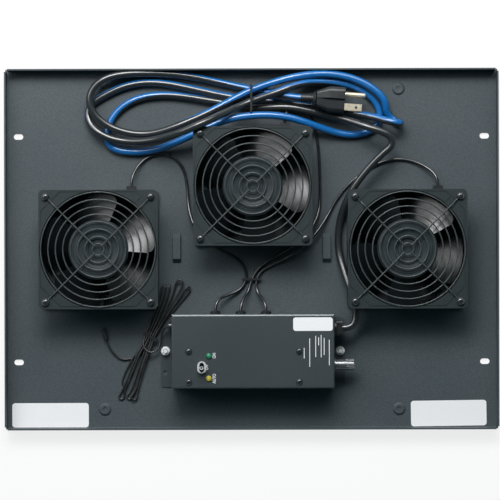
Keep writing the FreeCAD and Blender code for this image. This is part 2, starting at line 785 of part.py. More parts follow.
def circuit_board():
    """The board hung under the cover."""
    z1 = BOARD_TOP
    z0 = BOARD_TOP - BOARD_THICKNESS
    board = block(BOARD_X[0], BOARD_X[1], BOARD_Y[0], BOARD_Y[1], z0, z1)
    holes = [rod(2.0, z0 - 1, z1 + 1, x, y) for x in COVER_SCREWS_X for y in COVER_SCREWS_Y]
    return cut_all(board, holes)


def standoff(x, y):
    """A spacer swaged to the board, tapped for a cover screw."""
    under_cover = BOX_TOP - BOX_SHEET
    body = hexagon(6.0, BOARD_TOP, under_cover, x, y)
    collar_end = rod(2.0, BOARD_TOP - BOARD_THICKNESS - 0.8, BOARD_TOP, x, y)
    return body.fuse(collar_end).cut(rod(1.5, 31.0, under_cover + 1, x, y))


def cover_screw(x, y):
    """A pan-head screw in the cover."""
    head = [
        (0, BOX_TOP),
        (3.0, BOX_TOP),
        (3.0, BOX_TOP + 1.2),
        (2.0, BOX_TOP + 2.0),
        (0, BOX_TOP + 2.0),
    ]
    return turned(head, x, y).fuse(rod(1.5, 31.6, BOX_TOP, x, y))


def transformer():
    """A small mains transformer: core, bobbin and windings under the board."""
    z1 = BOARD_TOP - BOARD_THICKNESS
    core = block(8, 44, -131, -107, z1 - 21, z1 - 3)
    bobbin = block(13, 39, -134.5, -103.5, z1 - 20, z1)
    return fused([core, bobbin])


def relay():
    """The relay that switches the fans."""
    z1 = BOARD_TOP - BOARD_THICKNESS
    return rounded_block(-36, -8, -126, -112, z1 - 15, z1, 0.8)


def terminal_block():
    """The screw terminals that the leads end in."""
    z1 = BOARD_TOP - BOARD_THICKNESS
    body = block(-44, 24, -102, -89, z1 - 17, z1)
    wells = []
    for k in range(9):
        wells.append(block(-43 + 7.5 * k, -37 + 7.5 * k, -103, -99, z1 - 18, z1 - 9))
    return cut_all(body, wells)


def led(y):
    """An indicator lamp on the board, its dome above the cover."""
    top = BOX_TOP + 2.6
    profile = [
        (0, BOARD_TOP),
        (LED_RADIUS + 0.5, BOARD_TOP),
        (LED_RADIUS + 0.5, BOARD_TOP + 1.2),
        (LED_RADIUS, BOARD_TOP + 1.2),
        (LED_RADIUS, top - 2.0),
        (LED_RADIUS * 0.7, top - 0.6),
        (0, top),
    ]
    return turned(profile, LED_X, y)


def switch_body():
    """The toggle switch on the board, with its plated bushing in the cover."""
    low = BOARD_TOP
    case = block(SWITCH_X - 6.8, SWITCH_X + 6.8, SWITCH_Y - 7.7, SWITCH_Y + 7.7, low, 38.2)
    bushing = obround(SWITCH_X, SWITCH_Y, 12.0, 9.0, 38.2, 43.6, True)
    slot = obround(SWITCH_X, SWITCH_Y, SWITCH_SLOT_LENGTH, SWITCH_SLOT_WIDTH, 31.5, 45, True)
    pin = rod_x(0.85, SWITCH_X - 4.4, SWITCH_X + 4.4, SWITCH_Y, SWITCH_PIVOT_Z)
    return cut_all(fused([case, bushing]), [slot, pin])


def switch_lever():
    """The bat lever and its pivot pin."""
    profile = [
        (0, 32.6),
        (1.2, 32.6),
        (1.5, 38.0),
        (1.35, 44.0),
        (1.9, 53.0),
        (1.75, 55.2),
        (1.0, SWITCH_TIP_Z),
        (0, SWITCH_TIP_Z),
    ]
    bat = turned(profile, SWITCH_X, SWITCH_Y)
    pin = rod_x(0.8, SWITCH_X - 4.2, SWITCH_X + 4.2, SWITCH_Y, SWITCH_PIVOT_Z)
    return fused([bat, pin])


def fuse_holder():
    """The fuse holder: a moulded tube inside the box and a plated neck outside."""
    wall = BOX_CENTRE_X + BOX_LENGTH / 2
    tube = rod_x(FUSE_BODY_RADIUS, wall - 34, wall - BOX_SHEET, FUSE_Y, FUSE_Z)
    neck = rod_x(FUSE_NECK_RADIUS, wall - BOX_SHEET, wall + 11, FUSE_Y, FUSE_Z)
    flange = rod_x(FUSE_NECK_RADIUS + 1.4, wall, wall + 1.6, FUSE_Y, FUSE_Z)
    bore = rod_x(3.9, wall - 31.5, wall + 12, FUSE_Y, FUSE_Z)
    return fused([tube, neck, flange]).cut(bore)


def fuse_cap():
    """The bayonet cap, knurled round its edge, with the socket that grips the fuse."""
    wall = BOX_CENTRE_X + BOX_LENGTH / 2
    face = wall + 11.2
    end = wall + 20.4
    head = rod_x(FUSE_CAP_RADIUS, face, end, FUSE_Y, FUSE_Z)
    head = head.makeChamfer(0.6, [e for e in head.Edges if e.BoundBox.XMin > end - 1e-3])
    socket = rod_x(3.6, wall + 1.0, face, FUSE_Y, FUSE_Z)
    grip = rod_x(3.05, wall, wall + 6, FUSE_Y, FUSE_Z)
    knurl = []
    for k in range(18):
        groove = rod_x(0.45, face + 0.8, end + 1, FUSE_Y + FUSE_CAP_RADIUS, FUSE_Z)
        groove.rotate(Vector(0, FUSE_Y, FUSE_Z), Vector(1, 0, 0), 20 * k)
        knurl.append(groove)
    slot = block(end - 1.0, end + 1, FUSE_Y - 3.6, FUSE_Y + 3.6, FUSE_Z - 0.6, FUSE_Z + 0.6)
    return cut_all(fused([head, socket]), [grip, slot] + knurl)


def fuse():
    """The cartridge fuse, its outer end in the cap."""
    wall = BOX_CENTRE_X + BOX_LENGTH / 2
    ends = [
        rod_x(3.05, wall - 26, wall - 19.5, FUSE_Y, FUSE_Z),
        rod_x(3.05, wall - 0.5, wall + 6, FUSE_Y, FUSE_Z),
    ]
    glass = rod_x(2.8, wall - 26, wall + 6, FUSE_Y, FUSE_Z)
    return fused([glass] + ends)


def lead_grommet(x):
    """A rubber grommet in the back wall, round one fan lead."""
    y = BOX_BACK_Y
    body = rod_y(5.2, y, y + 3.4, x, LEAD_GROMMET_Z)
    body = body.makeChamfer(1.2, [e for e in body.Edges if e.BoundBox.YMin > y + 3.3])
    neck = rod_y(4.2, y - BOX_SHEET, y, x, LEAD_GROMMET_Z)
    inner = rod_y(5.2, y - BOX_SHEET - 1.6, y - BOX_SHEET, x, LEAD_GROMMET_Z)
    bore = rod_y(LEAD_DIAMETER / 2 + 0.5, y - 5, y + 5, x, LEAD_GROMMET_Z)
    return fused([body, neck, inner]).cut(bore)


def probe_grommet():
    """The grommet in the left wall, round the probe lead."""
    x = BOX_CENTRE_X - BOX_LENGTH / 2
    body = rod_x(4.6, x - 3.4, x, PROBE_GROMMET_Y, PROBE_GROMMET_Z)
    neck = rod_x(3.2, x, x + BOX_SHEET, PROBE_GROMMET_Y, PROBE_GROMMET_Z)
    inner = rod_x(4.6, x + BOX_SHEET, x + BOX_SHEET + 1.6, PROBE_GROMMET_Y, PROBE_GROMMET_Z)
    return fused([body, neck, inner])


def strain_relief():
    """The moulded strain relief that grips the power cord in the right wall."""
    wall = BOX_CENTRE_X + BOX_LENGTH / 2
    flange = rod_x(8.4, wall, wall + 2.4, GLAND_Y, GLAND_Z)
    neck = rod_x(6.4, wall - BOX_SHEET, wall, GLAND_Y, GLAND_Z)
    tail = rod_x(7.2, wall - BOX_SHEET - 7, wall - BOX_SHEET, GLAND_Y, GLAND_Z)
    y, z = GLAND_Y, GLAND_Z
    head = block(wall + 2.4, GLAND_FACE_X, y - 7.6, y + 7.6, z - 6.4, z + 6.4)
    long_edges = [e for e in head.Edges if e.BoundBox.XLength > 3]
    head = head.makeFillet(2.2, long_edges)
    return fused([tail, neck, flange, head])


# ---------------------------------------------------------------- the power cord
def smooth_slab(outline, z0, z1):
    """A slab with a smooth closed outline through hand-placed points."""
    curve = Part.BSplineCurve()
    curve.interpolate([Vector(x, y, z0) for x, y in outline], PeriodicFlag=True)
    return Part.Face(Part.Wire([curve.toShape()])).extrude(Vector(0, 0, z1 - z0))


def fan_clearance(name, gap):
    """The space that one fan takes, with a gap round it."""
    x, y = FAN_CENTRES[name]
    reach = FAN_SIZE / 2 + gap
    return block(x - reach, x + reach, y - reach, y + reach, 0, 46)


def waist_groove():
    """The places where the tie draws the hank in."""
    return [block(-4, 4, 100, 138.6, 0, 60), block(-4, 4, 100, 180, 24.5, 60)]


def hank_left():
    """The left lobes of the tied hank of cord, an open loop."""
    outer = [
        (-30, 163),
        (-60, 172),
        (-95, 176),
        (-130, 173),
        (-152, 162),
        (-165, 145),
        (-164, 126),
        (-148, 108),
        (-122, 97),
        (-98, 98),
        (-72, 107),
        (-44, 121),
        (-22, 130),
        (-2, 134),
        (-2, 158),
    ]
    inner = [
        (-58, 146),
        (-85, 151),
        (-112, 150),
        (-134, 142),
        (-140, 133),
        (-124, 123),
        (-102, 122),
        (-78, 129),
    ]
    ring = smooth_slab(outer, 4.0, 30.0).cut(smooth_slab(inner, 2.0, 31.0))
    ring = ring.cut(fan_clearance("middle", 1.5))
    return cut_all(ring, [block(-2, 20, 100, 180, 0, 60)] + waist_groove())


def hank_right():
    """The right lobes of the tied hank of cord, round the plug."""
    outer = [
        (-2, 163),
        (28, 172),
        (60, 177),
        (90, 176),
        (115, 167),
        (131, 152),
        (150, 131),
        (148, 122),
        (135, 117),
        (116, 113),
        (92, 113),
        (66, 122),
        (34, 131),
        (-2, 132),
    ]
    ring = smooth_slab(outer, 4.0, 30.0)
    plug_place = block(PLUG_BACK_X - 0.8, 118, 134.3, 165.8, PLUG_Z - 10.8, 60)
    lead_place = block(28, 80, 100, 147, 2, 15.5)
    ring = ring.cut(plug_place).cut(lead_place).cut(fan_clearance("middle", 1.5))
    return cut_all(ring, [block(-20, -2, 100, 180, 0, 60)] + waist_groove())


def tilted(shape):
    """Turn a piece of the plug about its rear end."""
    turned_shape = shape.copy()
    turned_shape.rotate(Vector(PLUG_BACK_X, PLUG_Y, PLUG_Z), Vector(0, 0, 1), PLUG_TILT)
    return turned_shape


def plug_body():
    """The moulded plug and its ribbed strain relief."""
    x0 = PLUG_BACK_X
    y, z = PLUG_Y, PLUG_Z
    tail = Part.makeCone(4.6, 6.0, 14, Vector(x0, y, z), Vector(1, 0, 0))
    front = rounded_block(-13.2, 13.2, -10.5, 10.5, 0, 28, 5.0)
    front.rotate(Vector(0, 0, 0), Vector(0, 1, 0), 90)
    front.rotate(Vector(0, 0, 0), Vector(1, 0, 0), 90)
    front = front.translated(Vector(PLUG_FACE_X - 28, y, z))
    neck = Part.makeCone(6.0, 9.5, 5, Vector(x0 + 12, y, z), Vector(1, 0, 0))
    grooves = []
    for k in range(4):
        ring = rod_x(7, x0 + 2 + 2.8 * k, x0 + 3.2 + 2.8 * k, y, z)
        grooves.append(ring.cut(rod_x(4.2, x0, x0 + 16, y, z)))
    return tilted(cut_all(fused([tail, neck, front]), grooves))


def plug_blade(offset):
    """One flat blade with its hole."""
    x = PLUG_FACE_X
    y = PLUG_Y - 6.2
    blade = block(x, x + 17.5, y - 3.2, y + 3.2, PLUG_Z + offset - 0.75, PLUG_Z + offset + 0.75)
    return tilted(blade.cut(rod(1.6, PLUG_Z - 20, PLUG_Z + 20, x + 12, y)))


def plug_ground_pin():
    """The round earth pin."""
    x = PLUG_FACE_X
    pin = rod_x(2.4, x, x + 21, PLUG_Y + 6.4, PLUG_Z)
    pin = pin.makeFillet(1.6, [e for e in pin.Edges if e.BoundBox.XMin > x + 20])
    return tilted(pin)


def cord_tie():
    """The twist tie round the waist of the hank."""
    outer = rounded_block(-1.2, 0.8, 137.5, 165.5, 1.7, 25.8, 0.3)
    return outer.cut(block(-2, 2, 138.4, 164.5, 2.6, 24.9))


def save_power_cord():
    """The cord, its plug and its tie."""
    cord = cord_tube("power_cord", POWER_CORD_ROUTE, CORD_DIAMETER)
    save("power_cord", cord)
    save("power_cord_hank_left", hank_left())
    save("power_cord_hank_right", hank_right().cut(cord))
    save("power_cord_tie", cord_tie())
    save("power_plug_body", plug_body())
    save("power_plug_blades", Part.makeCompound([plug_blade(-6.35), plug_blade(6.35)]))
    save("power_plug_ground_pin", plug_ground_pin())


# ---------------------------------------------------------------- the temperature probe
def probe_hank():
    """The folded bundle of probe lead, pinched at its tie."""
    outline = [
        (-132.5, -152.5),
        (-131.0, -141.0),
        (-118.5, -108.0),
        (-107.6, -91.0),
        (-100.0, -77.0),
        (-94.2, -64.0),
        (-92.2, -50.0),
        (-90.6, -36.0),
        (-78.0, -33.5),
        (-65.0, -32.0),
        (-59.5, -40.0),
        (-70.0, -53.5),
        (-84.5, -68.5),
        (-92.5, -80.0),
        (-99.5, -93.0),
        (-106.5, -111.0),
        (-115.0, -142.0),
        (-116.5, -151.5),
        (-124.0, -153.5),
    ]
    return smooth_slab(outline, 2.9, 7.1)


def probe_tie():
    """The band round the probe bundle."""
    band = rounded_block(-8.0, 8.0, -1.6, 1.6, 1.6, 8.1, 0.5)
    band = band.cut(block(-7.2, 7.2, -3, 3, 2.5, 7.4))
    band.rotate(Vector(0, 0, 0), Vector(0, 0, 1), -28)
    return band.translated(Vector(-102.3, -88.5, 0))


def probe_tip():
    """The sensor at the end of the probe lead."""
    end = Vector(*PROBE_TAIL_ROUTE[0])
    start = end + Vector(-3.67, 11.5, 0)
    along = end - start
    return Part.makeCylinder(PROBE_TIP_DIAMETER / 2, along.Length, start, along)


def lead_tie():
    """The tie that holds the three fan leads together."""
    band = rounded_block(-9.6, 9.4, -31.6, -29.0, 1.55, 6.2, 0.5)
    return band.cut(block(-8.6, 8.4, -33, -28, 1.7, 5.2))


def save_small_leads():
    """The probe with its lead, and the tie on the fan leads."""
    lead = cord_tube("probe_lead", PROBE_LEAD_ROUTE, PROBE_WIRE)
    tail = cord_tube("probe_tail", PROBE_TAIL_ROUTE, PROBE_WIRE)
    save("probe_lead", lead)
    save("probe_tail", tail)
    save("probe_lead_hank", cut_all(probe_hank(), [lead, tail]))
    save("probe_lead_tie", probe_tie())
    save("probe_tip", probe_tip())
    save("fan_lead_tie", lead_tie())


def save_control_box():
    """The control box and what it holds."""
    studs = (STUD_LEFT_X, STUD_RIGHT_X)
    places = [(x, y) for x in COVER_SCREWS_X for y in COVER_SCREWS_Y]
    save("control_box", control_box())
    save("control_box_studs", Part.makeCompound([box_stud(x) for x in studs]))
    save("control_box_nuts", Part.makeCompound([box_nut(x) for x in studs]))
    save("circuit_board", circuit_board())
    save("board_standoffs", Part.makeCompound([standoff(x, y) for x, y in places]))
    save("cover_screws", Part.makeCompound([cover_screw(x, y) for x, y in places]))
    save("transformer", transformer())
    save("relay", relay())
    save("terminal_block", terminal_block())
    save("led_green", led(LED_GREEN_Y))
    save("led_yellow", led(LED_YELLOW_Y))
    save("switch_body", switch_body())
    save("switch_lever", switch_lever())
    save("fuse_holder", fuse_holder())
    save("fuse_cap", fuse_cap())
    save("fuse", fuse())
    save("lead_grommets", Part.makeCompound([lead_grommet(x) for x in LEAD_GROMMETS_X]))
    save("probe_grommet", probe_grommet())
    save("strain_relief", strain_relief())


os.makedirs("parts", exist_ok=True)
save("panel", panel())
save_fans()
save_fan_fasteners()
save_control_box()
save_power_cord()
save_small_leads()
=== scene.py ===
# %% [markdown]
# # A rack fan tray, dressed for the studio
# The real thing is a shallow steel tray that carries three guarded fans, a control box, a coiled
# mains cord and a small temperature probe. The solids come from a CAD model. This lesson keeps
# those that are already right, gives every surface its finish, and adds what a CAD solid can't
# show: cords, wire, lettering and labels.

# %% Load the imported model
import json
import math

import bmesh
import bpy
from mathutils import Matrix, Vector


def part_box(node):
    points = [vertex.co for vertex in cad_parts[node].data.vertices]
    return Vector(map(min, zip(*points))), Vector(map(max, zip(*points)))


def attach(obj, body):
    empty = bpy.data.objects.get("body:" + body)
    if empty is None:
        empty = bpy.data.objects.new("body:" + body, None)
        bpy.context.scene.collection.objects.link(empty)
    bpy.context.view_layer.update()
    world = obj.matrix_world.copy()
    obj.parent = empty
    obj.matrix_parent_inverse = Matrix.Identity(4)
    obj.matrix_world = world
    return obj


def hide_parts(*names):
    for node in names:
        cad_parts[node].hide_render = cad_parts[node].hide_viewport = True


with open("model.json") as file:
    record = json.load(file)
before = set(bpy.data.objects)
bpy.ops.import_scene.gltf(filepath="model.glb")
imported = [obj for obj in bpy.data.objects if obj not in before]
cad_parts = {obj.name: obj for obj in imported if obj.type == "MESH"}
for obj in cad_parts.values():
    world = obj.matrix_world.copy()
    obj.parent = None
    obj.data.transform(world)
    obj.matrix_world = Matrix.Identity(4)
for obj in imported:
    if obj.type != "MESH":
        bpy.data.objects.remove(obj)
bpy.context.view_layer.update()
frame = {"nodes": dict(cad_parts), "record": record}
MM = 0.001
SIDES = ("left", "middle", "right")
SLOT_OF = {part["node"]: part["material_slot"] for part in frame["record"]["subparts"]}
BODIES = frame["record"]["behaviour"]["bodies"]
BODY_OF = {node: body for body, nodes in BODIES.items() for node in nodes}

# %% [markdown]
# ## The camera
# The tray is seen from straight above, from far enough away that the tall fans lean outwards only
# a little. A long lens at two and a half metres gives that view. The camera is set before
# anything else, because the cords are later judged by what it sees.

# %% Camera
CAMERA_HEIGHT = 2.5
CAMERA_PLACE = (-1.7 * MM, -0.9 * MM, CAMERA_HEIGHT)
CAMERA_ROLL = math.radians(-0.15)
LONG_LENS = 177.9
camera_data = bpy.data.cameras.new("camera")
camera_data.sensor_width = 36.0
camera_data.lens = LONG_LENS
camera = bpy.data.objects.new("camera", camera_data)
camera.location = CAMERA_PLACE
camera.rotation_euler = (0, 0, CAMERA_ROLL)
bpy.context.scene.collection.objects.link(camera)
bpy.context.scene.camera = camera
print("camera looks down from", CAMERA_HEIGHT, "m")

# %% [markdown]
# ## Helpers for finishes
# Each finish is a Principled shader fed by a few noise textures. Object coordinates are in
# metres, so a grain size is simply one over the texture's scale. A helper makes the common case:
# a colour that drifts between two tones, with a fine bump of the same grain.

# %% Finish helpers
FINISHES = {}
COAT_ROUGHNESS = 0.08


def plain_finish(name, colour, roughness, metallic=0.0):
    """A new material with one Principled shader, and its node tree."""
    material = bpy.data.materials.new(name)
    material.use_nodes = True
    shader = material.node_tree.nodes["Principled BSDF"]
    shader.inputs["Base Color"].default_value = (*colour, 1)
    shader.inputs["Roughness"].default_value = roughness
    shader.inputs["Metallic"].default_value = metallic
    FINISHES[name] = material
    return material, material.node_tree, shader


def noise(tree, size, detail=2.0):
    """Noise with lumps of about the given size in metres."""
    place = tree.nodes.new("ShaderNodeTexCoord")
    texture = tree.nodes.new("ShaderNodeTexNoise")
    texture.inputs["Scale"].default_value = 1 / size
    texture.inputs["Detail"].default_value = detail
    tree.links.new(place.outputs["Object"], texture.inputs["Vector"])
    return texture.outputs["Fac"]


def blend_colours(tree, factor, first, second, low=0.35, high=0.65):
    """A colour ramp between two tones."""
    ramp = tree.nodes.new("ShaderNodeValToRGB")
    ramp.color_ramp.elements[0].position = low
    ramp.color_ramp.elements[0].color = (*first, 1)
    ramp.color_ramp.elements[1].position = high
    ramp.color_ramp.elements[1].color = (*second, 1)
    tree.links.new(factor, ramp.inputs["Fac"])
    return ramp.outputs["Color"]


def add_bump(tree, shader, height, strength, distance):
    """Bump from a height."""
    bump = tree.nodes.new("ShaderNodeBump")
    bump.inputs["Strength"].default_value = strength
    bump.inputs["Distance"].default_value = distance
    tree.links.new(height, bump.inputs["Height"])
    tree.links.new(bump.outputs["Normal"], shader.inputs["Normal"])


def grained(name, first, second, roughness, grain, bump=0.0, metallic=0.0, coat=0.0):
    """A finish whose colour drifts in grains, with a bump of the same grain."""
    material, tree, shader = plain_finish(name, first, roughness, metallic)
    grains = noise(tree, grain)
    tree.links.new(blend_colours(tree, grains, first, second), shader.inputs["Base Color"])
    if bump:
        add_bump(tree, shader, grains, bump, grain / 4)
    shader.inputs["Coat Weight"].default_value = coat
    shader.inputs["Coat Roughness"].default_value = COAT_ROUGHNESS
    return material


# %% [markdown]
# ## Finishes
# Powder coat is a fine orange-peel texture with a speckle of tone and a slow drift across the
# sheet, so it gets three noises. Castings are satin black, blades are polished, wire is
# enamelled, and the small hardware is plated.

# %% Powder coat
SPECKLE = 0.9 * MM
DRIFT = 90 * MM
ORANGE_PEEL = 0.7 * MM


def powder_coat(name, dark, light, roughness):
    """Textured powder coat: speckle, slow drift and a fine bump."""
    _, tree, shader = plain_finish(name, dark, roughness)
    speckle = noise(tree, SPECKLE, detail=3.0)
    drift = noise(tree, DRIFT, detail=1.0)
    speckled = blend_colours(tree, speckle, dark, light, 0.3, 0.7)
    shade = blend_colours(tree, drift, (0.86, 0.88, 0.9), (1, 1, 1), 0.3, 0.7)
    mix = tree.nodes.new("ShaderNodeMix")
    mix.data_type = "RGBA"
    mix.blend_type = "MULTIPLY"
    mix.inputs["Factor"].default_value = 1.0
    tree.links.new(speckled, mix.inputs["A"])
    tree.links.new(shade, mix.inputs["B"])
    tree.links.new(mix.outputs["Result"], shader.inputs["Base Color"])
    add_bump(tree, shader, noise(tree, ORANGE_PEEL, detail=3.0), 0.25, 0.1 * MM)


powder_coat("tray_coat", (0.040, 0.052, 0.059), (0.076, 0.096, 0.107), 0.5)
powder_coat("box_coat", (0.034, 0.043, 0.048), (0.054, 0.067, 0.074), 0.4)

# %% Simple finishes
# name, first tone, second tone, roughness, grain
grained("fan_casting", (0.012, 0.019, 0.021), (0.02, 0.03, 0.033), 0.45, 0.8 * MM, bump=0.2)
grained("blade_plastic", (0.004, 0.005, 0.006), (0.006, 0.008, 0.009), 0.26, 30 * MM)
# the hub's satin plastic, its paler tone a painted sheen
grained("hub_satin_painted_sheen", (0.02, 0.028, 0.031), (0.03, 0.04, 0.044), 0.36, 12 * MM)
grained("guard_wire", (0.04, 0.048, 0.051), (0.06, 0.07, 0.074), 0.33, 4 * MM)
grained("black_plastic", (0.008, 0.009, 0.01), (0.016, 0.018, 0.02), 0.42, 2 * MM, bump=0.1)
grained("plug_plastic", (0.008, 0.01, 0.012), (0.014, 0.017, 0.02), 0.4, 1.5 * MM, bump=0.15)
grained("lead_jacket", (0.008, 0.009, 0.01), (0.018, 0.021, 0.023), 0.3, 5 * MM, coat=0.7)
grained("black_steel", (0.014, 0.017, 0.019), (0.03, 0.035, 0.038), 0.25, 2 * MM, coat=1.0)
grained("zinc", (0.75, 0.76, 0.78), (0.93, 0.94, 0.95), 0.5, 2.5 * MM, metallic=0.3)
grained("dark_nickel", (0.16, 0.165, 0.17), (0.26, 0.265, 0.27), 0.3, 1.2 * MM,
        bump=0.2, metallic=0.7)
grained("steel", (0.45, 0.46, 0.47), (0.6, 0.6, 0.62), 0.25, 1.5 * MM, metallic=1.0)
grained("bronze", (0.42, 0.27, 0.12), (0.55, 0.38, 0.18), 0.4, 1 * MM, metallic=1.0)
grained("satin_nickel", (0.5, 0.51, 0.52), (0.68, 0.69, 0.7), 0.45, 1.5 * MM, metallic=0.35)
# a paler coat for the box's bend: a painted highlight
grained("box_bend_highlight", (0.26, 0.285, 0.295), (0.34, 0.37, 0.38), 0.35, 3 * MM)
grained("nickel", (0.6, 0.6, 0.58), (0.8, 0.8, 0.78), 0.2, 4 * MM, metallic=1.0)
grained("blade_metal", (0.62, 0.55, 0.42), (0.78, 0.71, 0.57), 0.35, 3 * MM, metallic=0.55)
grained("grommet_rubber", (0.01, 0.011, 0.012), (0.02, 0.022, 0.024), 0.35, 1.5 * MM,
        bump=0.1, coat=0.5)
grained("board", (0.02, 0.1, 0.05), (0.03, 0.14, 0.07), 0.35, 3 * MM, coat=0.4)
grained("nylon", (0.7, 0.7, 0.65), (0.82, 0.82, 0.76), 0.4, 3 * MM)
grained("transformer_iron", (0.03, 0.03, 0.03), (0.08, 0.075, 0.07), 0.5, 1.2 * MM, metallic=0.5)
grained("relay_case", (0.02, 0.05, 0.2), (0.03, 0.07, 0.26), 0.3, 10 * MM)
grained("terminal_green", (0.03, 0.2, 0.09), (0.04, 0.25, 0.12), 0.4, 4 * MM)
grained("probe_jacket", (0.016, 0.017, 0.018), (0.03, 0.032, 0.034), 0.3, 4 * MM)
grained("label_paper", (0.86, 0.87, 0.88), (0.93, 0.93, 0.94), 0.35, 0.6 * MM, bump=0.05)
grained("white_ink", (0.78, 0.79, 0.8), (0.9, 0.9, 0.91), 0.5, 0.5 * MM)


def lens(name, deep, pale):
    """A tinted lamp lens whose tint drifts in grains between a deep and a pale tone."""
    lamp_lens = grained(name, deep, pale, 0.18, 2.5 * MM, coat=0.6)
    shader = lamp_lens.node_tree.nodes["Principled BSDF"]
    shader.inputs["Subsurface Weight"].default_value = 0.3
    shader.inputs["Subsurface Radius"].default_value = (1 * MM, 1 * MM, 1 * MM)


lens("lens_green", (0.015, 0.19, 0.09), (0.03, 0.3, 0.15))
lens("lens_amber", (0.42, 0.34, 0.025), (0.62, 0.52, 0.06))
FINISH_OF_SLOT = {"powder_coat": "tray_coat", "cord_jacket": "lead_jacket"}
print(len(FINISHES), "finishes made")

# %% [markdown]
# ## The mains cord's jacket and its painted blue reflection
# The cord's jacket is charcoal, and round half its section it carries a painted blue reflection. A
# curve's own UV map runs once round the section, so charcoal and the painted blue are a ramp across
# that direction, and the curve's tilt turns the painted blue to the front or the back, strand by
# strand along the coils.

# %% Cord jacket
CHARCOAL = (0.02, 0.023, 0.025)
PAINTED_BLUE_REFLECTION = (0.006, 0.13, 0.4)
# where round the section charcoal and the painted blue reflection start, as a share of a full turn
JACKET_REFLECTION_STOPS = ((0.22, PAINTED_BLUE_REFLECTION), (0.24, CHARCOAL), (0.76, CHARCOAL), (0.78, PAINTED_BLUE_REFLECTION))


def cord_jacket():
    """A glossy charcoal jacket with a painted blue reflection round half its section."""
    _, tree, shader = plain_finish("cord_jacket", CHARCOAL, 0.3)
    place = tree.nodes.new("ShaderNodeTexCoord")
    split = tree.nodes.new("ShaderNodeSeparateXYZ")
    tree.links.new(place.outputs["UV"], split.inputs["Vector"])
    ramp = tree.nodes.new("ShaderNodeValToRGB")
    for end in ramp.color_ramp.elements:
        end.color = (*PAINTED_BLUE_REFLECTION, 1)
    for position, colour in JACKET_REFLECTION_STOPS:
        stop = ramp.color_ramp.elements.new(position)
        stop.color = (*colour, 1)
    tree.links.new(split.outputs["Y"], ramp.inputs["Fac"])
    tree.links.new(ramp.outputs["Color"], shader.inputs["Base Color"])
    add_bump(tree, shader, noise(tree, 1.2 * MM), 0.06, 0.1 * MM)
    shader.inputs["Coat Weight"].default_value = 1.0
    shader.inputs["Coat Roughness"].default_value = 0.17


cord_jacket()
print("jacket has", len(JACKET_REFLECTION_STOPS), "colour stops")

# %% [markdown]
# ## Smooth copies of the CAD pieces
# The imported solids are loose triangles, which is fine for flat sheet but shows facets on round
# parts. Each round piece is copied, its doubles are merged, and it is shaded smooth except across
# real edges. The copy stands for the solid, which stays in the model for collision, hidden.

# %% Smooth copies
EDGE_ANGLE = math.radians(32)
SAME_PLACE = 0.002 * MM


def add_piece(name, mesh, body, finish):
    """Put a finished mesh into the scene on its body."""
    mesh.materials.clear()
    mesh.materials.append(FINISHES[finish])
    piece = bpy.data.objects.new(name, mesh)
    bpy.context.scene.collection.objects.link(piece)
    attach(piece, body)
    return piece


def add_made(name, bm, finish, body="tray"):
    """Turn a bmesh into a piece, and let go of the bmesh."""
    mesh = bpy.data.meshes.new(name)
    bm.to_mesh(mesh)
    bm.free()
    return add_piece(name, mesh, body, finish)


def smooth_by_angle(bm, angle=EDGE_ANGLE):
    """Smooth faces, sharp only across edges that turn by more than the angle."""
    for face in bm.faces:
        face.smooth = True
    for edge in bm.edges:
        edge.smooth = edge.is_manifold and edge.calc_face_angle(0) < angle


def smooth_copy(node, finish, name=None, shape=None, angle=EDGE_ANGLE):
    """A merged, smoothly shaded and, where asked, reshaped copy that stands for a CAD node."""
    bm = bmesh.new()
    bm.from_mesh(frame["nodes"][node].data)
    bmesh.ops.remove_doubles(bm, verts=bm.verts, dist=SAME_PLACE)
    if shape:
        shape(bm)
    smooth_by_angle(bm, angle)
    piece = add_made(name or node + "_shown", bm, finish, BODY_OF[node])
    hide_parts(node)
    return piece


def paint_where(piece, finish, chosen):
    """Faces that pass a test take a second finish."""
    piece.data.materials.append(FINISHES[finish])
    for face in piece.data.polygons:
        if chosen(face):
            face.material_index = 1


print("copies merge points closer than", SAME_PLACE, "m")
